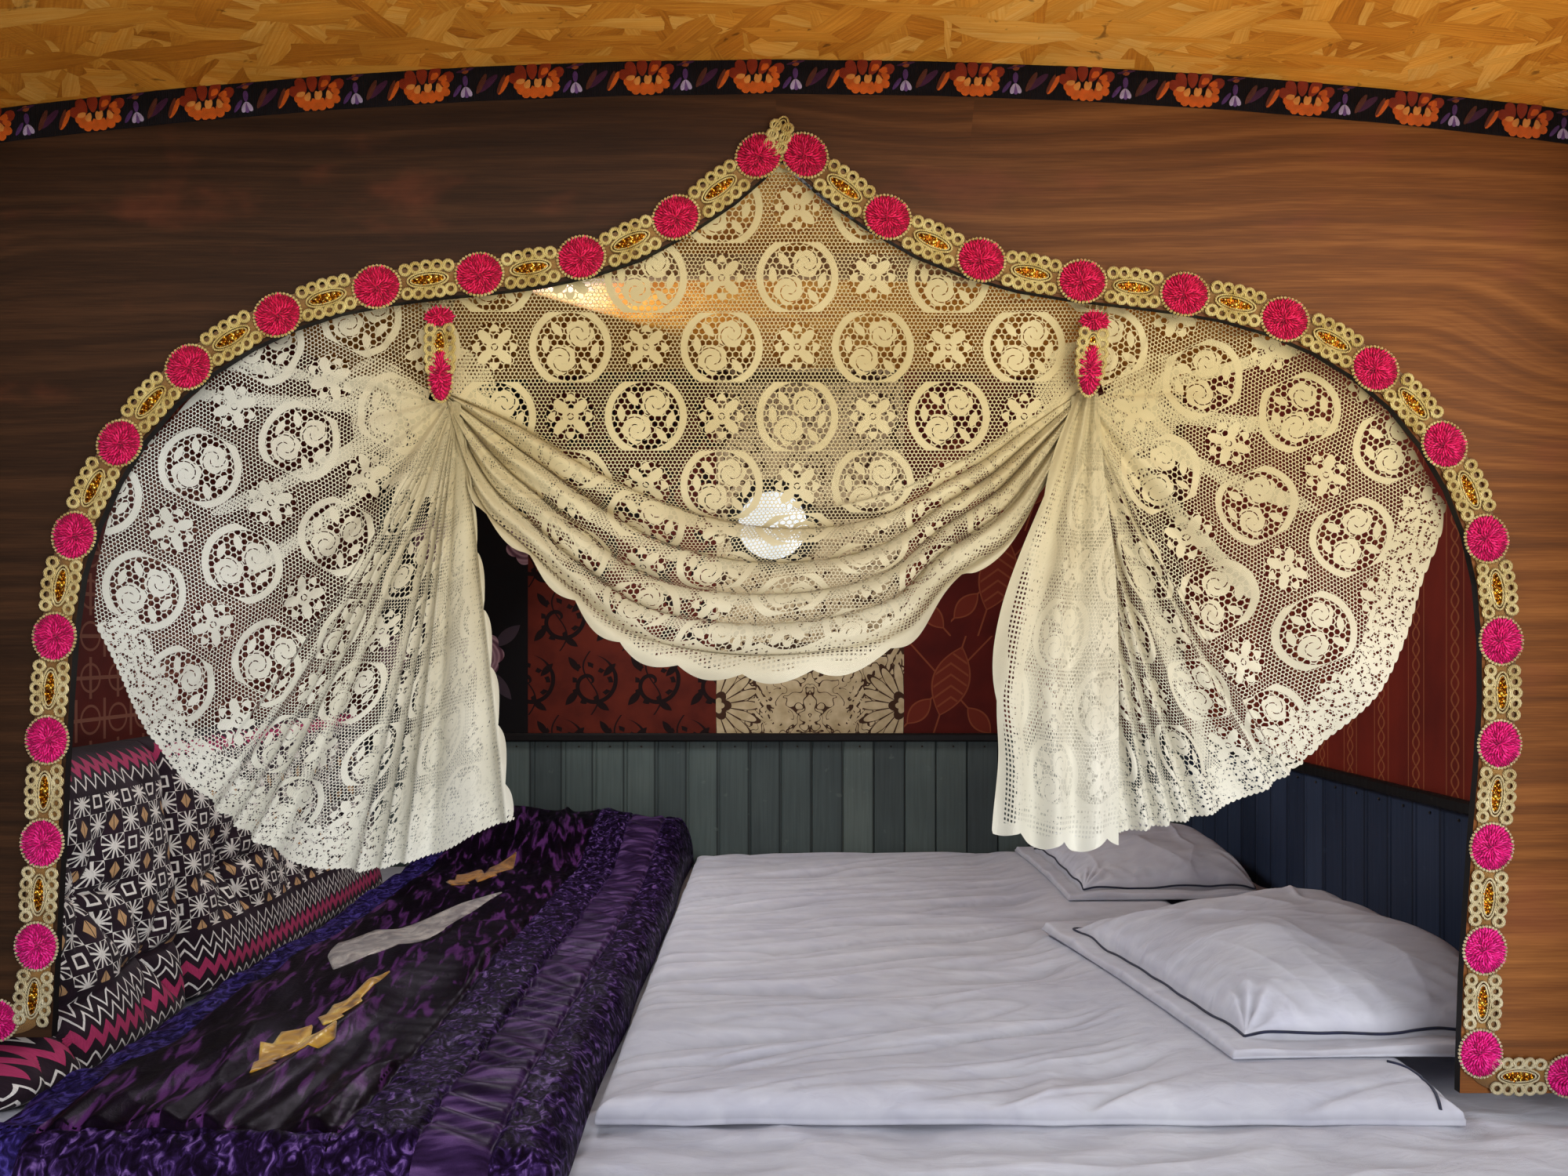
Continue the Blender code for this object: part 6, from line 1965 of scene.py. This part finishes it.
def lay_quilt():
    start, end = quilt_corners()
    _, _, x, y = grid(start.x, end.x, start.y, end.y, 250, 370, 0.35)
    top = quilt_height(x, y)
    sway = 0.010 * hills(y * 2.3, 0.7, 85) * smooth(x, start.x + 0.3, end.x)
    piece = slab("quilt_of_velvet", x - np.abs(sway), y, top, start.z, crushed_velvet(start, end), 3)
    soft_piece(piece, "quilt")
    gold = leaf_satin("gold leaf satin", (126, 84, 22), (196, 146, 44), (238, 204, 100))
    grey = leaf_satin("grey leaf velvet", (104, 96, 100), (150, 142, 140), (192, 184, 178))
    bronze = leaf_satin("bronze leaf satin", (90, 54, 20), (150, 98, 38), (190, 136, 60))
    leaf_patch("leaf_gold_near", [
        (-0.640, -0.045, 0.001, 0.001), (-0.640, -0.010, 0.012, 0.018), (-0.640, 0.000, 0.010, 0.008),
        (-0.638, 0.045, 0.030, 0.026), (-0.638, 0.055, 0.018, 0.016), (-0.636, 0.095, 0.026, 0.014),
        (-0.634, 0.125, 0.002, 0.002)], gold)
    leaf_patch("leaf_gold_side", [
        (-0.612, 0.020, 0.001, 0.001), (-0.608, 0.040, 0.014, 0.018), (-0.606, 0.080, 0.022, 0.022),
        (-0.606, 0.100, 0.012, 0.016), (-0.604, 0.132, 0.002, 0.002)], gold)
    leaf_patch("leaf_gold_far", [
        (-0.620, 0.130, 0.001, 0.001), (-0.624, 0.165, 0.018, 0.020), (-0.624, 0.180, 0.012, 0.010),
        (-0.622, 0.225, 0.022, 0.022), (-0.620, 0.240, 0.010, 0.012), (-0.612, 0.290, 0.010, 0.010),
        (-0.602, 0.345, 0.001, 0.001)], gold)
    leaf_patch("leaf_grey", [
        (-0.700, 0.375, 0.001, 0.001), (-0.690, 0.440, 0.050, 0.036), (-0.680, 0.540, 0.084, 0.060),
        (-0.655, 0.640, 0.078, 0.056), (-0.645, 0.660, 0.058, 0.042), (-0.620, 0.780, 0.040, 0.030),
        (-0.595, 0.880, 0.018, 0.014), (-0.576, 0.955, 0.001, 0.001)], grey)
    leaf_patch("leaf_bronze_near", [
        (-0.690, 0.990, 0.001, 0.001), (-0.688, 1.040, 0.028, 0.024), (-0.687, 1.060, 0.014, 0.012),
        (-0.684, 1.130, 0.034, 0.030), (-0.680, 1.190, 0.004, 0.004)], bronze)
    leaf_patch("leaf_bronze_far", [
        (-0.650, 1.050, 0.001, 0.001), (-0.646, 1.110, 0.028, 0.024), (-0.643, 1.130, 0.014, 0.012),
        (-0.638, 1.220, 0.030, 0.026), (-0.630, 1.320, 0.002, 0.002)], bronze)


def ikat_weave():
    """Brown-black cloth with rows of white stars, small squares, tan seeds and zigzag borders."""
    finish = Finish("ikat weave", 0.75, Sheen_Weight=0.04)
    u, v = finish.cloth_place()
    jitter = finish.noise(u * 60.0, v * 60.0, detail=3.0) * 0.0018 - 0.0009
    pu, pv = u + jitter, v + jitter * 0.8
    pitch, petal = 0.0345, 0.0238
    row, column = (pv / pitch).floor(), (pu / pitch).floor()
    a = ((pu / pitch).fract() - 0.5) * pitch
    b = ((pv / pitch).fract() - 0.5) * pitch
    star_here = (row + column).odd()
    along = (a.abs() + b.abs()) * 0.7071
    across = (a.abs() - b.abs()).abs() * 0.7071
    kite = (along * 0.55).least((along - petal) * -1.3) - across
    star = kite.abs().below(0.0017).most(across.below(0.0009) * kite.above(0.0))
    square = (a.abs().most(b.abs()) - 0.0076).abs().below(0.0017)
    seed_shape = (a.abs() * 1.45 + b.abs()).below(0.0132) * a.abs().above(0.0006)
    tan_here = row.odd()
    white = star_here * star + (1.0 - star_here) * (1.0 - tan_here) * square
    tan = (1.0 - star_here) * tan_here * seed_shape

    def zigzag(height, swing, width, pitch_along):
        wave = (((pu / pitch_along).fract() - 0.5).abs() - 0.25) * (4.0 * swing)
        return (pv - height - wave).abs().below(width)

    low_zone, high_zone = pv.below(0.118), pv.above(0.372)
    zone = low_zone.most(high_zone)
    lines = zigzag(0.080, 0.010, 0.0024, 0.024).most(zigzag(0.098, 0.010, 0.0022, 0.024))
    lines = lines.most(zigzag(0.390, 0.009, 0.0022, 0.024)).most(zigzag(0.012, 0.006, 0.0020, 0.020))
    pink = zigzag(0.056, 0.009, 0.0085, 0.024).most(zigzag(0.410, 0.008, 0.0070, 0.024))
    teeth = zigzag(0.030, 0.007, 0.0020, 0.024)
    fade = finish.noise(u * 18.0, v * 18.0, detail=4.0)
    ground = finish.ramp(fade, (0.3, (27, 17, 25)), (0.7, (48, 32, 44)))
    thread = finish.noise(u * 700.0, v * 120.0, detail=2.0)
    colour = finish.mix((1.0 - zone) * white, ground, (232, 228, 222))
    colour = finish.mix((1.0 - zone) * tan, colour, (196, 156, 112))
    colour = finish.mix(zone * pink, colour, (176, 54, 100))
    colour = finish.mix(zone * lines.most(teeth), colour, (232, 228, 224))
    finish.paint(finish.dim(colour, thread.spread(0.3, 0.7, 0.80, 1.10)))
    finish.relief(thread, 0.0005)
    return finish.material


def wall_pad(node, name, toe, tufts, seed, material):
    """A tufted pad on edge: its face bulges between buttons and its front end swells low down."""
    start, end = low(node), high(node)
    rows, columns = 150, 210
    s = np.linspace(0.0, 1.0, columns)[None, :]
    t = np.linspace(0.0, 1.0, rows)[:, None]
    tall = end.z - start.z
    under_foot = (EDGE[0][1] - 0.008 - start.z) / tall
    swell = toe * (1 - smooth(t, under_foot - 0.14, under_foot))
    near = start.y + toe - swell
    eased = s + 0.3 * (np.sin(np.pi * (s - 0.5)) * 0.5 + 0.5 - s)
    y = near + (end.y - near) * eased
    z = np.broadcast_to(start.z + tall * t, y.shape)
    depth = end.x - start.x
    lean = 0.066 * t
    ends = np.clip(1 - np.abs(2 * eased - 1) ** 9, 0, 1) ** 0.5
    brow = np.clip(1 - np.abs(2 * t - 1) ** np.where(t < 0.5, 26.0, 7.0), 0, 1) ** 0.5
    round_off = ends * brow
    face = 0.030 + (depth - 0.040 - lean) * round_off
    along, up = y - start.y, z - start.z
    for ty, tz in tufts:
        dy, dz = along - ty, up - tz
        away = np.hypot(dy, dz * 1.15)
        turn = np.arctan2(dz, dy)
        face = face - 0.046 * np.exp(-(away / 0.045) ** 1.2) * round_off
        spokes = np.abs(np.sin(turn * 3.0 + 1.2 * hills(along * 6, up * 6, seed)))
        face = face - 0.018 * np.exp(-((away - 0.055) / 0.050) ** 2) * (1 - spokes) ** 1.5 * round_off
    relief = 0.005 * hills(along * 7, up * 8, seed + 1)
    relief = relief - 0.006 * creases(along * 5 + up * 3, up * 6, seed + 2, 2.0)
    face = face + relief * round_off
    base_edge = np.exp(-(up / 0.02) ** 2)
    face = np.clip(face - 0.004 * base_edge, 0.012, depth - 0.0005)
    places = np.stack([start.x + face, y, z], axis=-1)
    verts = places.reshape(-1, 3).tolist()
    quads, border = grid_faces(rows, columns)
    faces = quads[:, [0, 3, 2, 1]].tolist()
    back = []
    for k in border:
        back.append(len(verts))
        verts.append((start.x, verts[k][1], verts[k][2]))
    for k in range(len(border)):
        after = (k + 1) % len(border)
        faces.append((border[k], border[after], back[after], back[k]))
    faces.append(tuple(back))
    mesh = closed_mesh(name, verts, faces, material)
    over = np.concatenate([along.ravel(), [verts[k][1] - start.y for k in back]])
    rise = np.concatenate([up.ravel(), [verts[k][2] - start.z for k in back]])
    keep_cloth(mesh, np.stack([over, rise], axis=-1))
    piece = add_object(name, mesh)
    soft_piece(piece, node)
    column = int(columns * 0.975)
    line = [tuple(places[i, column] + np.array([0.001, 0.0, 0.0])) for i in range(4, rows - 4, 6)]
    cord_tube(name + "_piping", line, 0.0035, material)


def lay_bedding():
    lay_sheet()
    lay_duvet()
    pillow("pillow_rear", "pillow_by_end_wall", 0.0, 0.86, 101)
    pillow("pillow_front", "pillow_by_screen", 0.05, 0.92, 131)
    lay_quilt()
    ikat = ikat_weave()
    near_tufts = ((0.20, 0.235), (0.33, 0.115), (0.09, 0.10))
    far_tufts = ((0.16, 0.20), (0.42, 0.20), (0.68, 0.20))
    wall_pad("wall_pad_front", "pad_by_screen", 0.090, near_tufts, 151, ikat)
    wall_pad("wall_pad_rear", "pad_by_end_wall", 0.0, far_tufts, 171, ikat)


lay_bedding()


# Camera, floor and lights

def place_camera():
    data = bpy.data.cameras.new("view")
    data.lens = LENS
    data.sensor_width = 36.0
    data.shift_y = HORIZON_SHIFT
    camera = add_object("view", data)
    camera.location = EYE
    camera.rotation_euler = (math.pi / 2, 0.0, 0.0)
    bpy.context.scene.camera = camera


def soft_lamp(name, place, target, size, power):
    data = bpy.data.lights.new(name, "AREA")
    data.shape = "RECTANGLE"
    data.size, data.size_y = size
    data.energy = power
    lamp = add_object(name, data)
    lamp.visible_camera = False
    lamp.location = place
    lamp.rotation_euler = (Vector(target) - Vector(place)).to_track_quat("-Z", "Y").to_euler()


def light_scene():
    soft_lamp("front soft light", (1.4, -4.6, 2.7), (0.0, -0.2, 1.2), (3.0, 2.2), 125.0)
    soft_lamp("left soft light", (-3.6, -2.2, 3.6), (0.0, 0.0, 1.1), (2.4, 2.4), 60.0)
    soft_lamp("rear soft light", (1.5, 4.6, 3.4), (0.0, 0.6, 1.0), (3.0, 2.0), 110.0)
    soft_lamp("berth light", (-0.55, 0.42, CROWN - 0.16), (0.55, -0.25, BED_TOP), (0.30, 0.30), 11.0)
    soft_lamp("low soft light", (1.5, -2.5, 0.5), (0.45, -0.75, 2.05), (1.4, 0.8), 24.0)
    world = bpy.data.worlds.new("studio")
    world.use_nodes = True
    bpy.context.scene.world = world
    tree = world.node_tree
    ground = tree.nodes["Background"]
    ground.inputs["Strength"].default_value = 0.4
    white = tree.nodes.new("ShaderNodeBackground")
    white.inputs["Strength"].default_value = 1.0
    rays = tree.nodes.new("ShaderNodeLightPath")
    seen = most_of(Field(tree, rays.outputs[kind]) for kind in ("Is Camera Ray", "Is Transmission Ray"))
    ground.inputs["Color"].default_value = (0.9, 0.93, 1.0, 1.0)
    white.inputs["Color"].default_value = (1.0, 1.0, 1.0, 1.0)
    choose = tree.nodes.new("ShaderNodeMixShader")
    tree.links.new(seen.socket, choose.inputs[0])
    tree.links.new(ground.outputs[0], choose.inputs[1])
    tree.links.new(white.outputs[0], choose.inputs[2])
    tree.links.new(choose.outputs[0], tree.nodes["World Output"].inputs["Surface"])
    bpy.context.scene.view_settings.view_transform = "Standard"


def lay_floor():
    bpy.ops.mesh.primitive_plane_add(size=40.0, location=(0.0, 0.0, 0.0))
    floor = bpy.context.object
    floor.name = "studio_floor"
    finish = Finish("pale floor", 0.9)
    x, y, _ = finish.place()
    finish.paint(finish.ramp(finish.noise(x * 0.8, y * 0.8), (0.3, (226, 226, 224)), (0.7, (234, 234, 232))))
    rays = finish.tree.nodes.new("ShaderNodeLightPath")
    seen = Field(finish.tree, rays.outputs["Is Camera Ray"])
    finish.tree.links.new((seen * 0.42).socket, finish.shader.inputs["Emission Strength"])
    finish.shader.inputs["Emission Color"].default_value = (1.0, 1.0, 1.0, 1.0)
    floor.data.materials.append(finish.material)


place_camera()
light_scene()
lay_floor()
